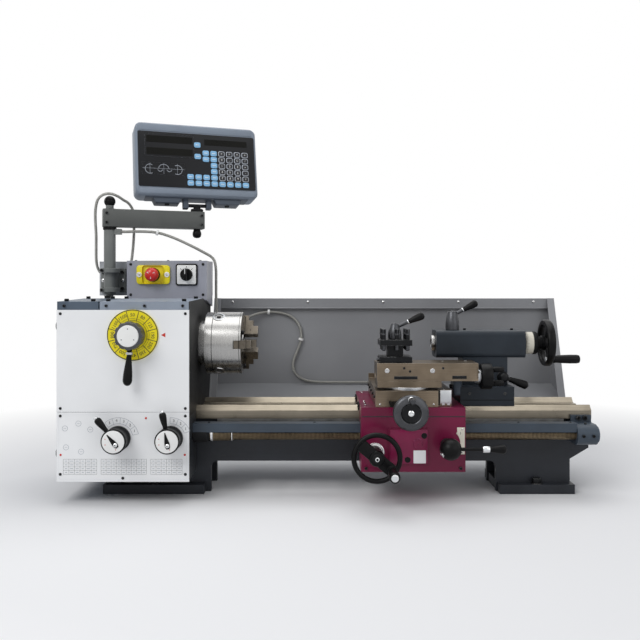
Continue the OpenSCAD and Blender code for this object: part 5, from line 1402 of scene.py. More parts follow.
            self.key(part, at @ shift(0, foot + up * k, 1.55), True, "")
        finishes = [FILM, LINE_PALE, GLASS, KEY_BLUE, KEY_DARK, WHITE]
        part.done("readout_front", finishes, "display", ("dro_panel",))

    def key(self, part: Shape, at: Matrix, blue: bool, text: str) -> None:
        """Add one key.

        Args:
            part: The piece it is part of.
            at: Its middle on the film.
            blue: Whether it is a blue key, or a dark one with a pale outline.
            text: The plain figure on it.
        """
        part.sheet(rounded(14.6, 12.4, 3.6, 4), 1.3, at, 3 if blue else 1, 0.5)
        if not blue:
            part.sheet(rounded(12, 9.8, 2.6, 3), 0.35, at @ shift(0, 0, 1.15), 4)
        top = at @ shift(0, 0, 1.32 if blue else 1.52)
        if text:
            part.words(text, 4.6, top, 5, 0.15)
        else:
            for x in (-2.6, 0, 2.6):
                part.box((x - 0.9, -0.9, 0), (x + 0.9, 0.9, 0.15), 5, 0, top)


@dataclass
class Cables:
    """The armoured cables of the scales, with the routes of the solids."""

    thick: float = 6.0

    def build(self) -> None:
        """Lay both cables and dress their ties."""
        dress({"cable_ties": WHITE})
        long = [
            (-480, 100, 524), (-468, 100, 524), (-440, 106, 525), (-405, 113, 523),
            (-370, 119, 512), (-335, 123, 496), (-308, 126, 482), (-286, 129, 468),
            (-280, 132, 448), (-280, 137, 415), (-281, 145, 380), (-280, 151, 345),
            (-274, 158, 322), (-258, 168, 312), (-240, 178, 318), (-222, 186, 330),
            (-200, 195, 342), (-168, 202, 348), (-136, 203, 345), (-112, 203, 334), (-96, 203, 312),
            (-94, 203, 285), (-102, 203, 260), (-112, 203, 232), (-108, 203, 208), (-88, 202, 193),
            (-60, 201, 188), (-20, 200, 187), (20, 200, 187), (60, 200, 187)]
        loop = [
            (-530, 148, 425), (-530, 157, 425), (-536, 162, 431), (-543, 155, 440),
            (-544, 140, 452), (-542, 126, 468), (-539, 115, 490), (-537, 108, 518),
            (-537, 102, 548), (-535, 96, 572), (-528, 88, 592), (-514, 80, 602), (-498, 80, 604),
            (-486, 92, 600), (-478, 108, 594), (-470, 124, 588), (-464, 137, 574), (-462, 138, 550),
            (-462, 138, 520), (-463, 134, 490), (-464, 126, 465), (-466, 119, 445),
            (-466, 122, 430), (-466, 131, 430)]
        self.lay("scale_cable", long, "cable_long", "medium")
        self.lay("post_cable", loop, "cable_loops", "limp")

    def lay(self, name: str, route: list[Point], node: str, stiffness: str) -> None:
        """Lay one cable along its route.

        Args:
            name: The piece's name.
            route: The points of its middle line.
            node: The solid that it stands for.
            stiffness: How limp it is; not used.
        """
        curve = bpy.data.curves.new(name, "CURVE")
        curve.dimensions, curve.bevel_depth, curve.bevel_resolution = "3D", self.thick / 2 * MM, 4
        curve.use_fill_caps = True
        line = curve.splines.new("POLY")
        smooth = self.smooth(route)
        line.points.add(len(smooth) - 1)
        for point, at in zip(line.points, smooth):
            point.co = (*(Vector(at) * MM), 1)
        length = sum((Vector(b) - Vector(a)).length for a, b in zip(smooth, smooth[1:]))
        drawn = bpy.data.objects.new(name + "_line", curve)
        data = as_mesh(drawn)
        data.name = name
        self.map_along(data, smooth, length)
        data.materials.clear()
        data.materials.append(replace(SLEEVE, length=length).material())
        piece = bpy.data.objects.new(name, data)
        bpy.context.scene.collection.objects.link(piece)
        data.polygons.foreach_set("use_smooth", [True] * len(data.polygons))
        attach(piece, "base")
        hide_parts(node)
        LOG.info("%s: %.0f mm long", name, length)

    def smooth(self, route: list[Point]) -> list[Vector]:
        """Round a route's corners.

        Args:
            route: Its points.

        Returns:
            Three times as many points on the rounded line.
        """
        points = [Vector(p) for p in route]
        ends = [2 * points[0] - points[1], *points, 2 * points[-1] - points[-2]]
        line = [points[0]]
        for a, b, c, d in zip(ends, ends[1:], ends[2:], ends[3:]):
            for t in (1 / 3, 2 / 3, 1):
                line.append(0.5
                            * ((2 * b) + (c - a) * t + (2 * a - 5 * b + 4 * c - d) * t * t
                               + (3 * b - a - 3 * c + d) * t ** 3))
        return line

    def map_along(self, data: bpy.types.Mesh, line: list[Vector], length: float) -> None:
        """Give a cable's skin a map that runs along it.

        Args:
            data: The skin.
            line: Its middle line.
            length: How long that is.
        """
        spots, run = [], 0
        for k, at in enumerate(line):
            run += (at - line[k - 1]).length if k else 0
            spots.append((at * MM, run / length))
        tree = KDTree(len(spots))
        for k, (at, _) in enumerate(spots):
            tree.insert(at, k)
        tree.balance()
        near = [spots[tree.find(v.co)[1]][1] for v in data.vertices]
        layer = data.uv_layers.new(name="along")
        for corner in data.loops:
            layer.data[corner.index].uv = (near[corner.vertex_index], 0.5)


@dataclass
class BedAndGuard:
    """The bed with its lead screw, cover and bracket, and the splash guard."""

    screw: tuple[float, float] = (-100.0, 121.0)

    def build(self) -> None:
        """Dress the solids and add the small parts."""
        dress({"bed": BED, "rack": CUT, "lead_screw": LEAD, "screw_cover": SLEEVE_BLUE,
               "end_bracket": SLEEVE_BLUE, "splash_guard": GUARD_PAINT})
        self.bed_fittings()
        self.screw_fittings()
        self.guard_fittings()

    def bed_fittings(self) -> None:
        """Add the foot bolts, rack screws and the bolts at the bed's right end."""
        part = Shape()
        for x in (-375, 375):
            for y in (-61, 61):
                part.bolt((x, y, 17.9), UP, 17, 0, 12)
        for k in range(9):
            part.socket_screw((-210 + 80 * k, -63.95, 137.5), FRONT, 5, 0, 1)
        for z in (104, 140):
            for y in (-30, 30):
                part.bolt((480.9, y, z), RIGHT, 11, 0, 25)
        part.done("bed_bolts", [OXIDE, MATT], "base")

    def screw_fittings(self) -> None:
        """Add the lead screw's sleeve and collars, and the screws and boss of its covers."""
        part = Shape()
        part.turned([(12, 0), (14.6, 0.8), (14.6, 26), (12.6, 28), (12.6, 31)],
                    aim((-291.6, *self.screw), RIGHT), 0, 40)
        part.turned([(10.1, 0), (13.4, 0.4), (13.4, 4.6), (10.1, 5)],
                    aim((-258.5, *self.screw), RIGHT), 1, 40)
        part.turned([(10.1, 0), (12.6, 0.6), (12.6, 2.4), (10.1, 3)],
                    aim((-219, *self.screw), RIGHT), 1, 40)
        part.done("lead_screw_collars", [MATT, BRIGHT], "lead_screw")
        part = Shape()
        part.turned([(10.3, 0), (15.5, 0.4), (16, 1), (16, 3.2), (15, 4), (10.3, 4)],
                    aim((477.9, *self.screw), RIGHT), 0, 48)
        for x in (449, 468):
            part.socket_screw((x, -119.2, 121), FRONT, 6, 1, 2)
        part.socket_screw((458.5, -100, 140.3), UP, 5, 1, 2)
        for x in (-262, -60, 140, 330, 430):
            part.pan_screw((x, -101, 143.95), UP, 5, 1, 2)
        part.done("bracket_fittings", [COVER, OXIDE, MATT], "base")

    def guard_fittings(self) -> None:
        """Add the guard's rolled rim, its stiffening folds and its screws."""
        part = Shape()
        for k in range(3):
            x = -180 + 270 * k
            part.box((x - 12, 212.3, 190), (x + 12, 216.6, 366), 0, 1.6)
        part.rod((-289.6, 200, 357.4), (482, 200, 357.4), 2, 0, 0.8, 14)
        for x in (-286, 478):
            for z in (210, 340):
                side = LEFT if x < 0 else RIGHT
                at = -291.65 if x < 0 else 483.95
                part.pan_screw((at, 196, z), side, 7, 1, 2)
        for k in range(5):
            part.pan_screw((-250 + 172 * k, 198.4, 371), FRONT, 6, 1, 2)
        part.done("guard_folds", [GUARD_PAINT, BRIGHT, MATT], "base")


@dataclass
class Chuck:
    """The three-jaw chuck on the spindle's nose."""

    back: float = -278.1
    face: float = -206.1
    axis: float = 290.0

    def build(self) -> None:
        """Dress the solids and add the chuck's small parts."""
        dress({"spindle": STEEL, "chuck_body": STEEL, "chuck_scroll": CUT, "chuck_pinion": CUT})
        for k in (1, 2, 3):
            dress({f"jaw_{k}": HARD})
            self.jaw_steps(k)
        self.fittings()

    def fittings(self) -> None:
        """Add the socket rings, face screws, groove, nose bolts and bore lip."""
        part = Shape()
        centre = shift(0, 0, self.axis)
        for k in range(3):
            turn = centre @ spun(90 + 120 * k + 180, "X")
            socket = turn @ shift(self.back + 26, 0, 0)
            part.turned(
                [(9.1, 61.2), (12.4, 61.2), (12.8, 62), (12, 62.9), (9.1, 62.9)], socket, 0, 40)
            screw = centre @ spun(30 + 120 * k, "X")
            spot = screw @ Vector((self.face - 0.2, 46, 0))
            part.socket_screw(spot, RIGHT, 9, 1, 2)
            bolt = centre @ spun(75 + 120 * k, "X")
            part.bolt(bolt @ Vector((self.back + 0.1, 38, 0)), LEFT, 8, 1, 30)
        # Thin matt black rings round the body and on its face: painted shade for its grooves.
        for x, line in ((self.back + 14, 1.2), (self.face - 4, 0.8)):
            part.turned([(62.3, 0), (62.62, 0), (62.62, line), (62.3, line)],
                        aim((x, 0, self.axis), RIGHT), 2, 96)
        part.turned([(16.1, 0), (19.5, 0), (19.5, 0.8), (18.6, 1.4), (16.1, 1.4)],
                    aim((self.face - 0.2, 0, self.axis), RIGHT), 0, 56)
        for r in (27, 56):
            part.turned([(r, 0), (r, 0.12), (r + 0.5, 0.12), (r + 0.5, 0), (r, 0)],
                        aim((self.face - 0.03, 0, self.axis), RIGHT), 2, 80)
        part.done("chuck_fittings", [BRIGHT, OXIDE, MATT], "spindle")

    def jaw_steps(self, k: int) -> None:
        """Add the gripping teeth and the side grooves of one jaw.

        Args:
            k: The jaw's number, from one.
        """
        part = Shape()
        turn = shift(0, 0, self.axis) @ spun(90 + 120 * (k - 1), "X")
        for i in range(5):
            y = -6.4 + 3.2 * i
            tooth = turn @ shift(self.face + 1, y, 17)
            part.box((0, -1, -0.9), (27, 1, 0.3), 0, 0.45, tooth)
        # Thin matt black lines on the jaw's sides: painted shade for its grooves.
        for side in (-1, 1):
            groove = turn @ shift(self.face + 1.6, side * 8, 20)
            part.box((0, -0.14, 0), (1.4, 0.14, 36), 1, 0, groove)
        part.words(str(k), 5, turn @ shift(self.face + 14, -8.1, 25.5) @ spun(90, "X"), 1, 0.25)
        part.done(f"jaw_teeth_{k}", [HARD, MATT], f"jaw_{k}")


@dataclass
class Carriage:
    """The saddle and the apron with their wheel and half-nut lever."""

    left: float = 27.0
    right: float = 221.0
    front: float = -145.0
    top: float = 178.8
    wheel: tuple[float, float] = (52.5, 96.0)
    lever: tuple[float, float] = (186.0, 110.0)

    def build(self) -> None:
        """Build and dress the carriage."""
        dress({"saddle": SADDLE, "apron": WINE, "rack_pinion": CUT, "half_nut": BRASS})
        self.saddle_fittings()
        self.apron_fittings()
        self.handwheel()
        self.nut_lever()

    def saddle_fittings(self) -> None:
        """Add the way wipers, gib screws, oil plugs and lock screw."""
        part = Shape()
        for x, side in ((self.left, LEFT), (self.right, RIGHT)):
            for y in (-57, 57):
                felt = [(y - 17, 172.9), (y - 17, 163.6), (y - 11.4, 163.6), (y, 174.9),
                        (y + 11.4, 163.6), (y + 17, 163.6), (y + 17, 172.9), (y + 13, 176.6),
                        (y - 13, 176.6)]
                at = shift(x if side.x < 0 else x + 2.6, 0,
                           0) @ Matrix(((0, 0, -1, 0), (1, 0, 0, 0), (0, 1, 0, 0), (0, 0, 0, 1)))
                part.sheet(felt, 2.6, at, 2, 0.3)
                for dy in (-13, 13):
                    part.pan_screw((x + side.x * 2.55, y + dy, 170.6), side, 4.6, 1, 3)
        for y in (-118, -92, -70):
            part.socket_screw((self.left + 9, y, self.top - 0.1), UP, 4.6, 4, 3)
        for x, y in ((self.left + 12, 84), (self.right - 12, 84), (self.right - 12, -30)):
            part.turned([(0, 0), (3.4, 0), (3.4, 0.5), (2.6, 1.1), (1.3, 1.2), (1.2, 0.7),
                         (0, 0.9)], aim((x, y, self.top - 0.05), UP), 4, 24)
        for y in (-120, -80, 0, 40, 80):
            part.socket_screw((self.right - 0.1, y, 171), RIGHT, 4.6, 1, 3)
        part.box((self.left + 1.2, self.front - 0.35, 161.2),
                 (self.right - 1.2, self.front + 0.3, 162.9), 3, 0.2)
        part.done("saddle_fittings", [WINE, OXIDE, MATT, PRINT, BRIGHT], "carriage")

    def apron_fittings(self) -> None:
        """Add the cover plate's rim and screws, the ring plug, the sector plate and the oil cup."""
        part = Shape()
        face = self.front - 4.1
        # The cover plate and the ring plug take the lighter wine: painted light on the raised
        # parts.
        part.sheet(rounded(69.4, 62.4, 1.6), 1.6, facing((114.9, face + 0.05, 107)), 6, 0.5)
        for x, z in ((143.5, 127.4), (112.7, 82.9)):
            part.turned([(5.4, 0), (5.4, 0.8), (4.7, 1.1), (4.6, 0.3), (0, 0.3)],
                        facing((x, face - 1.5, z)), 2, 32)
        ring = [
            (9.5, 0), (9.5, 0.9), (8.9, 1.2), (8, 1.2), (7.6, 0.4), (2, 0.4), (1.6, 1), (0, 1.1)]
        part.turned(ring, facing((132.1, face - 1.5, 112.6)), 6, 44)
        part.sheet(rounded(23, 24, 1), 0.5, facing((135, face - 1.52, 88.4)), 7, 0.15)
        sector = [(203, 92), (219.5, 92), (219.5, 142), (205, 142), (205.5, 134)]
        sector += [(lx + 186, lz + 113) for lx, lz in arc(25, 46, -44, 9)]
        part.sheet(sector, 1, facing((0, self.front + 0.05, 0)), 5, 0.3)
        for z in (95.5, 138.5):
            part.pan_screw((215, self.front - 0.9, z), FRONT, 3.6, 4, 3)
        for z, text in ((131, "1"), (99, "0")):
            part.words(text, 5, facing((211.5, self.front - 0.96, z)), 3, 0.2)
        for x in (self.left + 9, self.right - 9):
            part.socket_screw((x, self.front + 0.05, 66), FRONT, 6, 1, 3)
        part.solid([(17.4, 0), (17.4, 1.6), (15, 2.6)],
                   facing((self.wheel[0], self.front + 0.05, self.wheel[1])), 4, 56)
        part.turned([(12, 0), (12, 3), (9.6, 4.4), (0, 4.4)],
                    facing((self.lever[0], self.front + 0.05, self.lever[1])), 1, 40)
        part.done("apron_fittings", [WINE, OXIDE, MATT, MATT, BRIGHT, IVORY, WINE_LIT, PANEL],
                  "carriage")

    def handwheel(self) -> None:
        """Build the black wheel with its broad bar, hub and crank handle."""
        part = Shape()
        x, z = self.wheel
        at = aim((x, -200, z), FRONT)
        turns = [k * math.pi / 8 for k in range(17)]
        part.turned([(41.4 + 4.7 * math.cos(t), 4.7 * 1.1 * math.sin(t)) for t in turns], at, 0, 88)
        crank_way = Vector((math.cos(math.radians(40)), 0, -math.sin(math.radians(40))))
        bar = at @ spun(heading(at, crank_way))
        part.box((-39.5, -11.5, -3), (39.5, 11.5, 3.4), 0, 2.4, bar)
        part.solid([(13, -8), (14.4, -6), (14.4, 5), (12.8, 7.4), (9.4, 8.2)], at, 0, 56)
        part.turned([(13, -54), (13, -8), (0, -8), (0, -54), (13, -54)], at, 0, 56)
        part.solid([(8.4, 8), (8.4, 9.2), (7.2, 9.8)], at, 2, 40)
        part.socket_screw(at @ Vector((0, 0, 9.6)), FRONT, 8, 1, 2)
        part.turned([(7, 0), (6.9, -60)], aim((x, -145, z), FRONT), 1, 32)
        crank = bar @ shift(35.6, 0, 0)
        part.solid([(9, -4.5), (10, -3), (10, 4), (8.8, 5.4)], crank, 0, 40)
        grip = [(0, 5), (7.2, 5.2), (7.9, 8), (8.7, 18), (9.3, 34), (9.8, 50), (9.4, 56.4), (8, 58),
                (0, 58)]
        part.turned(grip, crank, 0, 36)
        part.turned([(0, 57.6), (6.5, 57.8), (6.5, 58.6), (5, 59.2), (0, 59.4)], crank, 1, 32)
        finishes = [BLACK, CHROME, MATT]
        part.done("apron_handwheel", finishes, "apron_wheel", ("apron_wheel",))

    def nut_lever(self) -> None:
        """Build the half-nut lever: ball, rod, collar and tapered grip."""
        part = Shape()
        x, z = self.lever
        y = self.front - 45
        part.solid([(5.9, -28), (5.9, 34)], aim((x, self.front - 6, z), FRONT), 1, 32)
        part.turned([(9, 4.4), (10.4, 5), (10.4, 22), (9, 23), (0, 23)],
                    aim((x, self.front, z), FRONT), 0, 40)
        part.ball((x, y, z), 20, 0)
        part.turned([(0, 19.2), (4.6, 19.3), (4.8, 20.6), (3.6, 21.4), (0, 21.6)],
                    aim((x, y, z), Vector((-0.72, -0.35, -0.4))), 1, 28)
        part.rod((x + 12, y, z), (x + 72, y, z), 3.4, 0)
        part.turned([(3.6, 0), (5.6, 0.6), (6, 1.6), (6, 12), (5.4, 13), (3.6, 13.6)],
                    aim((x + 57.5, y, z), RIGHT), 1, 32)
        part.grip((x + 70, y, z), (x + 101, y, z), 5, 8.4, 0)
        part.done("half_nut_lever", [BLACK, CHROME], "nut_lever", ("nut_lever",))


@dataclass
class Slides:
    """The cross slide, swivel, top slide and tool post above the carriage."""

    middle: float = 112.5
    pivot: tuple[float, float] = (118.0, -97.0)
    top_screw: tuple[float, float] = (-97.5, 232.0)
    slide_top: float = 260.4
    post: tuple[float, float] = (93.5, -97.6)

    def build(self) -> None:
        """Build and dress the slides."""
        dress({"cross_slide": [TAN, ALU, MATT], "swivel_base": TAN, "top_slide": TAN,
               "tool_post": OXIDE})
        self.cross_fittings()
        self.cross_wheel()
        self.swivel_scale()
        self.top_fittings()
        self.top_wheel()
        self.post_bolts()
        TaperLever("post_lever", (*self.post, 304), radius=13, high=30, lean=24, reach=62,
                   crown=0.6).build()

    def cross_fittings(self) -> None:
        """Add the gib screws, the end covers and the gland and screws of the scale."""
        part = Shape()
        right, left = self.middle + 58.5, self.middle - 58.5
        for y in (-118, -70, -20, 30, 72):
            part.socket_screw((left + 0.1, y, 196), LEFT, 5, 0, 1)
        for x in (left + 8.5, right - 8.5):
            part.pan_screw((x, -139.9, 184), FRONT, 4, 2, 1)
        for y in (-120, -40, 40, 74):
            part.pan_screw((right + 13, y, 210), UP, 5, 2, 1)
        part.box((right + 0.4, -130.7, 181), (right + 4.6, -129.9, 209.4), 1, 0.3)
        part.box((right + 5, -131, 184), (right + 26, -129.9, 209.4), 3, 0.4)
        for x in (right + 8, right + 18):
            part.box((x, -131, 180.6), (x + 5.4, -129.9, 184.4), 3, 0.3)
        part.turned([(6, 0), (6.6, 0.8), (5.8, 6), (4.6, 9), (0, 9)],
                    aim((right + 13, 79.9, 196), BACK), 1, 24)
        part.done("cross_fittings", [OXIDE, MATT, BRIGHT, ALU], "cross_slide")

    def cross_wheel(self) -> None:
        """Build the graphite handwheel with its recess, folding handle, dial and screw."""
        part = Shape()
        x, z = self.middle, 178
        at = aim((x, -201, z), FRONT)
        rim = [
            (0, 2), (22, 2), (26, 0.6), (30.6, 0.2), (32, 1.6), (32, 8.6), (30.8, 10.8), (27, 12.8),
            (19.6, 14), (18.4, 13.2), (17.6, 10.6), (13.6, 10.2), (13, 11.4), (0, 11.4)]
        part.turned(rim, at, 0, 88)
        part.turned([(17.2, 9), (17.2, 11), (16.4, 11.9), (0, 11.9)], at, 5, 64)
        part.solid([(5.4, 11.2), (5.4, 12.8), (4.2, 13.8), (2.2, 13.9), (2, 12.2)], at, 1, 36)
        part.turned([(13, 29), (13, 2.2), (0, 2.2)], aim((x, -201, z), BACK), 0, 48)
        grip = at @ spun(heading(at, UP)) @ shift(24.4, 0, 0)
        part.solid([(5, 12), (5.4, 13.2), (4.4, 14.4)], grip, 1, 28)
        part.turned([(3.4, 14.2), (3.4, 17), (5.2, 19), (6, 26), (5.6, 35), (4.6, 39), (0, 40)],
                    grip, 0, 28)
        foot = at @ spun(heading(at, UP) + 180) @ shift(15.6, 0, 0)
        part.solid([(1.9, 10.2), (1.9, 11.2)], foot, 1, 20)
        drum = aim((x, -145.4, z), FRONT)
        part.solid([(21, 0), (22, 1.2), (22, 16)], drum, 2, 72)
        part.knurl(drum, 22, 16.4, 25.6, 60, 0)
        part.solid([(22, 16), (22, 26), (20.8, 26.8)], drum, 0, 72)
        part.ticks(drum, 22, 100, 3, 3)
        part.rod((x, -146, z), (x, 95, z), 4.9, 4)
        part.done("cross_handwheel", [GRAPHITE, CHROME, ALU, MATT, FEED, OXIDE], "cross_wheel",
                  ("cross_wheel",))

    def swivel_scale(self) -> None:
        """Add the swivel's pale graduated ring and its clamp screws."""
        part = Shape()
        x, y = self.pivot
        at = shift(x, y, 209.6)
        part.turned([(43.2, 0.3), (44.2, 0.3), (44.4, 0.9), (44.2, 5.2), (43, 5.8), (43.2, 0.3)],
                    at, 0, 120)
        part.ticks(at @ shift(0, 0, 2.2), 44.3, 90, 1.7, 1, 0.4)
        for side in (-1, 1):
            part.bolt((x + side * 49, y - 30, 226.5), UP, 7, 2, 12)
        part.done("swivel_scale", [ALU, PRINT, OXIDE], "swivel_base")

    def top_fittings(self) -> None:
        """Add the top slide's set screws, plugged holes, end plate and scale."""
        part = Shape()
        x, front = 57, -135.05
        for dx in (19, 104):
            part.solid([(4.6, 0), (4.6, 0.8), (3.8, 1.5), (2, 1.5), (1.8, 0.5)],
                       facing((x + dx, front + 0.05, 246)), 1, 32)
        for dx, z in ((51, 251), (124, 251), (62, 245)):
            part.solid([(2.4, 0), (2.4, 0.2)], facing((x + dx, front + 0.02, z)), 2, 24)
        # Two dark strips at the slide's foot: painted shade for its slot cutouts.
        part.box((x + 32, front - 0.2, 230), (x + 76, front + 0.4, 236), 2, 0.2)
        part.box((x + 141, front - 0.2, 231), (x + 168, front + 0.4, 237), 2, 0.2)
        y = -self.top_screw[0]
        end = [(y - 37, 227.4), (y + 37, 227.4), (y + 37, 252), (y + 29, 259.6), (y - 29, 259.6),
               (y - 37, 252)]
        turn = Matrix(((0, 0, -1, 247.4), (-1, 0, 0, 0), (0, 1, 0, 0), (0, 0, 0, 1)))
        part.sheet(end, 3.4, turn, 1, 0.9)
        for k in range(21):
            z = 232 + k
            part.box((243.8, front - 0.1, z - 0.12),
                     (243.8 + (3 if k % 5 else 3.4), front + 0.3, z + 0.12), 3, 0)
        for sy in (-1, 1):
            part.socket_screw((247.2, self.top_screw[0] + sy * 28, 243), RIGHT, 5.6, 2, 3)
        for dx in (60, 130, 175):
            part.turned([(0, 0), (2.8, 0), (2.8, 0.4), (1.2, 0.8), (0, 0.5)],
                        aim((x + dx, -84, 260.05), UP), 1, 20)
        part.done("top_slide_fittings", [TAN, BRIGHT, OXIDE, MATT], "top_slide")

    def top_wheel(self) -> None:
        """Build the top slide's conical handwheel with its dial and handles."""
        part = Shape()
        at = aim((247.3, *self.top_screw), RIGHT)
        part.solid([(12.4, 0.4), (13, 1), (13, 9.6)], at, 1, 56)
        part.ticks(at @ shift(0, 0, 1.6), 13, 50, 2.2, 2)
        drum = [(0, 9.4), (21, 9.4), (23.4, 10.6), (24.5, 13), (24.5, 29), (23.6, 31), (21.6, 32),
                (18.4, 31.6), (16.8, 29.6), (0, 29)]
        part.turned(drum, at, 0, 72)
        part.turned([(0, 28.8), (5, 28.8), (5, 30.6), (0, 31)], at, 3, 28)
        for turn in (0, 180):
            up = at @ spun(heading(at, UP) + turn) @ shift(13, 0, 0)
            grip = [(0, 28.8), (3.4, 28.8), (3.8, 33), (5.4, 36), (5.8, 45), (5.2, 53), (4, 55.2),
                    (0, 55.6)]
            part.turned(grip, up, 0, 28)
        part.rod((130, *self.top_screw), (250, *self.top_screw), 3.9, 4)
        part.done(
            "top_handwheel", [BLACK, ALU, MATT, CHROME, FEED], "top_wheel", ("top_wheel",))

    def post_bolts(self) -> None:
        """Add the tool post's square bolt heads, their lower ends and the index pin."""
        part = Shape()
        x, y = self.post
        low, high = self.slide_top + 11, self.slide_top + 43
        for k in range(4):
            for s in (-1, 0.1):
                spot = shift(x, y, 0) @ spun(90 * k) @ Vector((22.5, s * 22.5, 0))
                head = shift(spot.x, spot.y, high + 20) @ spun(17 * k + 30 * s)
                part.box((-3.3, -3.3, 0), (3.3, 3.3, 9), 0, 0.7, head @ shift(0, 0, -8.6))
                part.turned(
                    [(4.2, 0), (4.9, 0.4), (4.9, 2.2), (4.2, 2.6)], head @ shift(0, 0, -11), 0, 24)
                part.turned(
                    [(0, 11), (2.6, 11), (3.9, 12.6), (3.9, 22)], shift(spot.x, spot.y, low), 0, 24)
        part.solid([(3.2, 0), (3.2, 4), (2.4, 5)], aim((x - 30.4, y - 18, 266), LEFT), 0, 24)
        part.done("post_bolts", [GRAPHITE], "tool_post")


@dataclass
class TaperLever:
    """A locking lever: a cone on a stud, with an inclined rod and a tapered grip."""

    node: str
    foot: Point
    radius: float
    high: float
    lean: float
    reach: float
    crown: float

    def build(self) -> None:
        """Build the lever in place of its solid."""
        part = Shape()
        r, h, top = self.radius, self.high, self.radius * self.crown
        cone = [(0, 0), (r - 0.5, 0), (r, 0.6), (r, h * 0.2), (r * 0.97, h * 0.4),
                (top + 0.4, h * 0.9), (top - 1.6, h * 0.99), (0, h)]
        part.turned(cone, Matrix.Translation(self.foot), 0, 56)
        part.turned([(0, h - 0.3), (r * 0.26, h - 0.3), (r * 0.26, h + 0.3), (0, h + 0.5)],
                    Matrix.Translation(self.foot), 0, 28)
        turn = math.radians(self.lean)
        along = Vector((math.cos(turn), 0, math.sin(turn)))
        start = Vector(self.foot) + Vector((0, 0, h - 9))
        part.rod(start + along * 3, start + along * (self.reach - 27), 3.6, 0)
        part.turned([(3.7, 0), (4.6, 0.6), (4.6, 2), (3.7, 2.6)],
                    aim(start + along * (self.reach - 35), along), 1, 28)
        part.grip(start + along * (self.reach - 33), start + along * self.reach, 4.8, 7.6, 2)
        part.done(f"{self.node}_handle", [GRAPHITE, CHROME, BLACK], self.node,
                  (self.node,))


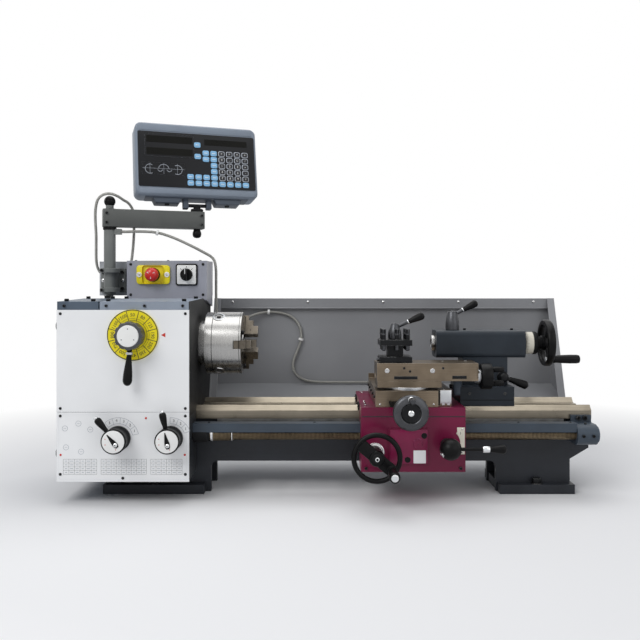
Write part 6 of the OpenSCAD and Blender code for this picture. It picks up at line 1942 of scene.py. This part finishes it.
@dataclass
class Tailstock:
    """The tailstock with its quill, handwheel and levers."""

    foot: tuple[float, float] = (226.0, 332.0)
    barrel: tuple[float, float] = (183.0, 361.6)
    axis: float = 290.0

    def build(self) -> None:
        """Build and dress the tailstock."""
        dress({"tailstock": SLATE, "quill": STEEL})
        self.fittings()
        self.quill_nose()
        self.handwheel()
        TaperLever("lock_lever", (220, 0, 316.7), radius=14, high=38, lean=28, reach=58,
                   crown=0.75).build()
        self.clamp()

    def fittings(self) -> None:
        """Add the barrel's front collar, top screws, set-over screws, wipers and split line."""
        part = Shape()
        x0, x1 = self.barrel
        part.turned([(16.6, 0), (22, 0), (23, 1), (23, 2.4), (21.6, 3.4), (16.6, 3.4)],
                    aim((x0 + 3, 0, self.axis), LEFT), 1, 64)
        part.turned([(7.4, 0), (24.6, 0), (25.4, 1), (25.4, 1.6)],
                    aim((x1 - 1.4, 0, self.axis), RIGHT), 2, 64)
        for x in (x0 + 62, x0 + 158):
            part.socket_screw((x, 0, 316.3), UP, 6, 1, 2)
        f0, f1 = self.foot
        part.box((f0 + 0.6, -60.35, 180.6), (f1 - 0.6, -59.8, 181.8), 2, 0.2)
        part.box((f0 - 13, -60, 190), (f0 + 3, -36, 222), 3, 3)
        part.bolt((f0 - 12.9, -47, 207), LEFT, 9, 1, 20)
        for x in (f0 + 18, f1 - 18):
            part.solid(
                [(3.2, 0), (3, 0.6), (1.6, 0.7), (1.4, 0.3)], facing((x, -59.95, 194)), 1, 28)
        for x, side in ((f0, LEFT), (f1, RIGHT)):
            for y in (-44, 44):
                part.pan_screw((x, y, 199), side, 6, 1, 2)
        part.turned(
            [(10.4, 0), (11.4, 0.6), (11.4, 2), (10.4, 2.6)], facing((316, -27.9, 224)), 1, 40)
        part.done("tailstock_fittings", [SLATE, OXIDE, MATT, COVER], "tailstock")

    def quill_nose(self) -> None:
        """Add the lip of the quill's nose."""
        part = Shape()
        at = aim((self.barrel[0] - 6, 0, self.axis), LEFT)
        part.turned(
            [(9.4, -0.4), (15.2, -0.4), (15.2, 0.3), (14, 0.9), (10, 0.9), (9.4, 0.4)], at, 0, 56)
        part.done("quill_nose", [BRIGHT], "quill")

    def handwheel(self) -> None:
        """Build the tailstock's handwheel: dial, dished rim, three spokes and handle."""
        part = Shape()
        x0 = self.barrel[1]
        at = aim((x0, 0, self.axis), RIGHT)
        part.solid([(22.6, 0.4), (22.6, 4)], at, 0, 64)
        part.solid([(21.4, 4), (22.2, 4.8), (22.2, 20)], at, 1, 72)
        part.ticks(at @ shift(0, 0, 5), 22.2, 100, 3.2, 2)
        part.turned([(0, 20), (22.4, 20), (22.8, 21), (22.8, 27), (21.4, 29.6), (13, 31), (13, 38),
                     (15, 40), (15, 56), (13, 58.6), (0, 59)], at, 0, 64)
        part.knurl(at, 22.6, 21.2, 27, 64, 0)
        wheel = at @ shift(0, 0, 50)
        crank_turn = heading(wheel, Matrix.Rotation(math.radians(142), 3, "X") @ UP)
        section = [(37.6, -7.2), (41, -8), (45.6, -7), (47.3, -4), (47.3, 4.2), (45.4, 7.4),
                   (41.4, 8), (37.8, 6.6), (36.2, 3.4), (36.2, -3.6), (37.6, -7.2)]
        part.turned(section, wheel, 0, 96)
        for k in range(3):
            turn = wheel @ spun(crank_turn + 120 * k)
            part.box((9, -5.6, -4.4), (39.5, 5.6, 2.4), 0, 2, turn)
        part.turned([(0, 8.8), (6, 8.8), (6, 10.4), (4.8, 11.4), (0, 11.6)], wheel, 3, 32)
        crank = wheel @ spun(crank_turn) @ shift(39.5, 0, 0)
        grip = [(0, 6), (7.6, 6.4), (8.2, 8), (7.4, 12), (8.2, 22), (8.9, 40), (8.8, 54),
                (7.8, 58.6), (5.4, 60), (0, 60)]
        part.turned(grip, crank, 0, 36)
        part.turned([(0, -9), (5, -9), (5, -7.6), (0, -7.4)], crank, 3, 24)
        part.rod((260, 0, self.axis), (x0 + 1, 0, self.axis), 6.9, 4)
        part.done("tail_handwheel", [BLACK, IVORY, PRINT, CHROME, FEED], "tail_wheel",
                  ("tail_wheel",))

    def clamp(self) -> None:
        """Build the clamp lever on the tailstock's side."""
        part = Shape()
        at = Vector((316, -28.3, 224))
        part.solid([(9.4, 0), (10, 0.8), (10, 13), (8.6, 18), (6, 20)], aim(at, FRONT), 0, 48)
        turn = math.radians(20)
        along = Vector((math.cos(turn), 0, -math.sin(turn)))
        start = at + FRONT * 10
        part.rod(start + along * 4, start + along * 20, 3.6, 0)
        part.grip(start + along * 12, start + along * 52, 5.2, 8.2, 1)
        part.done("clamp_handle", [OXIDE, BLACK], "clamp_lever", ("clamp_lever",))


class Studio:
    """The pale floor, the soft light and the camera of the picture."""

    def __init__(self) -> None:
        """Take the open scene."""
        self.scene = bpy.context.scene

    def build(self) -> None:
        """Set up the whole studio."""
        self.scene.view_settings.view_transform = "Standard"
        self.camera()
        self.world()
        self.floor()
        for name, at, aimed, size, power in (
            ("key", (-1.5, -2.0, 2.2), (0.0, 0.0, 0.2), 1.8, 38.0),
            ("fill", (1.9, -1.9, 1.3), (0.0, 0.0, 0.2), 2.2, 9.0),
            ("top", (0.1, 0.3, 2.4), (0.0, 0.0, 0.2), 2.4, 26.0),
        ):
            self.lamp(name, at, aimed, size, power)

    def camera(self) -> None:
        """Set the camera where the photograph's lines meet."""
        data = bpy.data.cameras.new("picture")
        data.lens, data.sensor_width, data.shift_x, data.shift_y = 45.0, 36.0, -0.003, -0.044
        data.clip_end = 50.0
        camera = bpy.data.objects.new("picture", data)
        camera.location = (-0.046, -1.632, 0.394)
        camera.rotation_euler = (math.radians(90), 0.0, 0.0)
        self.scene.collection.objects.link(camera)
        self.scene.camera = camera

    def world(self) -> None:
        """Light the room evenly and show it white behind the machine."""
        world = bpy.data.worlds.new("room")
        board = Board(world)
        rays = board.add("ShaderNodeLightPath").outputs
        shown = board.reckon("MAXIMUM", rays["Is Glossy Ray"], rays["Is Transmission Ray"])
        seen = board.reckon("MAXIMUM", rays["Is Camera Ray"], shown)
        soft = board.add("ShaderNodeBackground", {"Color": (0.92, 0.95, 1.0, 1.0), "Strength": 0.3})
        white = board.add("ShaderNodeBackground", {"Color": (1.0, 1.0, 1.0, 1.0)})
        feeds = {0: seen, 1: soft.outputs["Background"], 2: white.outputs["Background"]}
        mixed = board.add("ShaderNodeMixShader", feeds).outputs["Shader"]
        board.add("ShaderNodeOutputWorld", {"Surface": mixed})
        self.scene.world = world

    def floor(self) -> None:
        """Lay the pale floor, which turns into the white room away from the machine."""
        board = Board(bpy.data.materials.new("pale_floor"))
        spread = board.add(
            "ShaderNodeVectorMath", {0: board.coords}, operation="LENGTH").outputs["Value"]
        far = board.span(spread, 0.75, 1.5, 0.0, 1.0)
        seen = board.add("ShaderNodeLightPath").outputs["Is Camera Ray"]
        share = board.reckon("MULTIPLY", far, seen)
        lit = board.add("ShaderNodeBsdfDiffuse", {"Color": (0.9, 0.9, 0.91, 1.0)}).outputs["BSDF"]
        glow = board.add("ShaderNodeEmission", {"Color": (1.0, 1.0, 1.0, 1.0)}).outputs["Emission"]
        mixed = board.add("ShaderNodeMixShader", {0: share, 1: lit, 2: glow}).outputs["Shader"]
        board.add("ShaderNodeOutputMaterial", {"Surface": mixed})
        plane = bmesh.new()
        bmesh.ops.create_grid(plane, x_segments=1, y_segments=1, size=12.0)
        data = bpy.data.meshes.new("floor")
        plane.to_mesh(data)
        plane.free()
        data.materials.append(board.owner)
        floor = bpy.data.objects.new("floor", data)
        floor.location = (0.0, 0.0, -0.0004)
        self.scene.collection.objects.link(floor)

    def lamp(self, name: str, at: Point, aimed: Point, size: float, power: float) -> None:
        """Hang one soft lamp.

        Args:
            name: The lamp's name.
            at: Where it hangs, in metres.
            aimed: What it is turned to.
            size: Its width.
            power: Its power, in watts.
        """
        data = bpy.data.lights.new(name, "AREA")
        data.shape, data.size, data.energy = "DISK", size, power
        lamp = bpy.data.objects.new(name, data)
        lamp.location = at
        lamp.rotation_euler = (Vector(aimed) - Vector(at)).to_track_quat("-Z", "Y").to_euler()
        self.scene.collection.objects.link(lamp)


def main() -> None:
    """Build the machine's looks in order."""
    logging.basicConfig(level=logging.INFO, format="%(message)s")
    Studio().build()
    Cables().build()
    Headstock().build()
    SpeedDial().build()
    FeedSelector("left", x=-423.0, lean=40.0).build()
    FeedSelector("right", x=-326.0, lean=12.0).build()
    Controls().build()
    Readout().build()
    BedAndGuard().build()
    Chuck().build()
    Carriage().build()
    Slides().build()
    Tailstock().build()


if __name__ == "__main__":
    main()
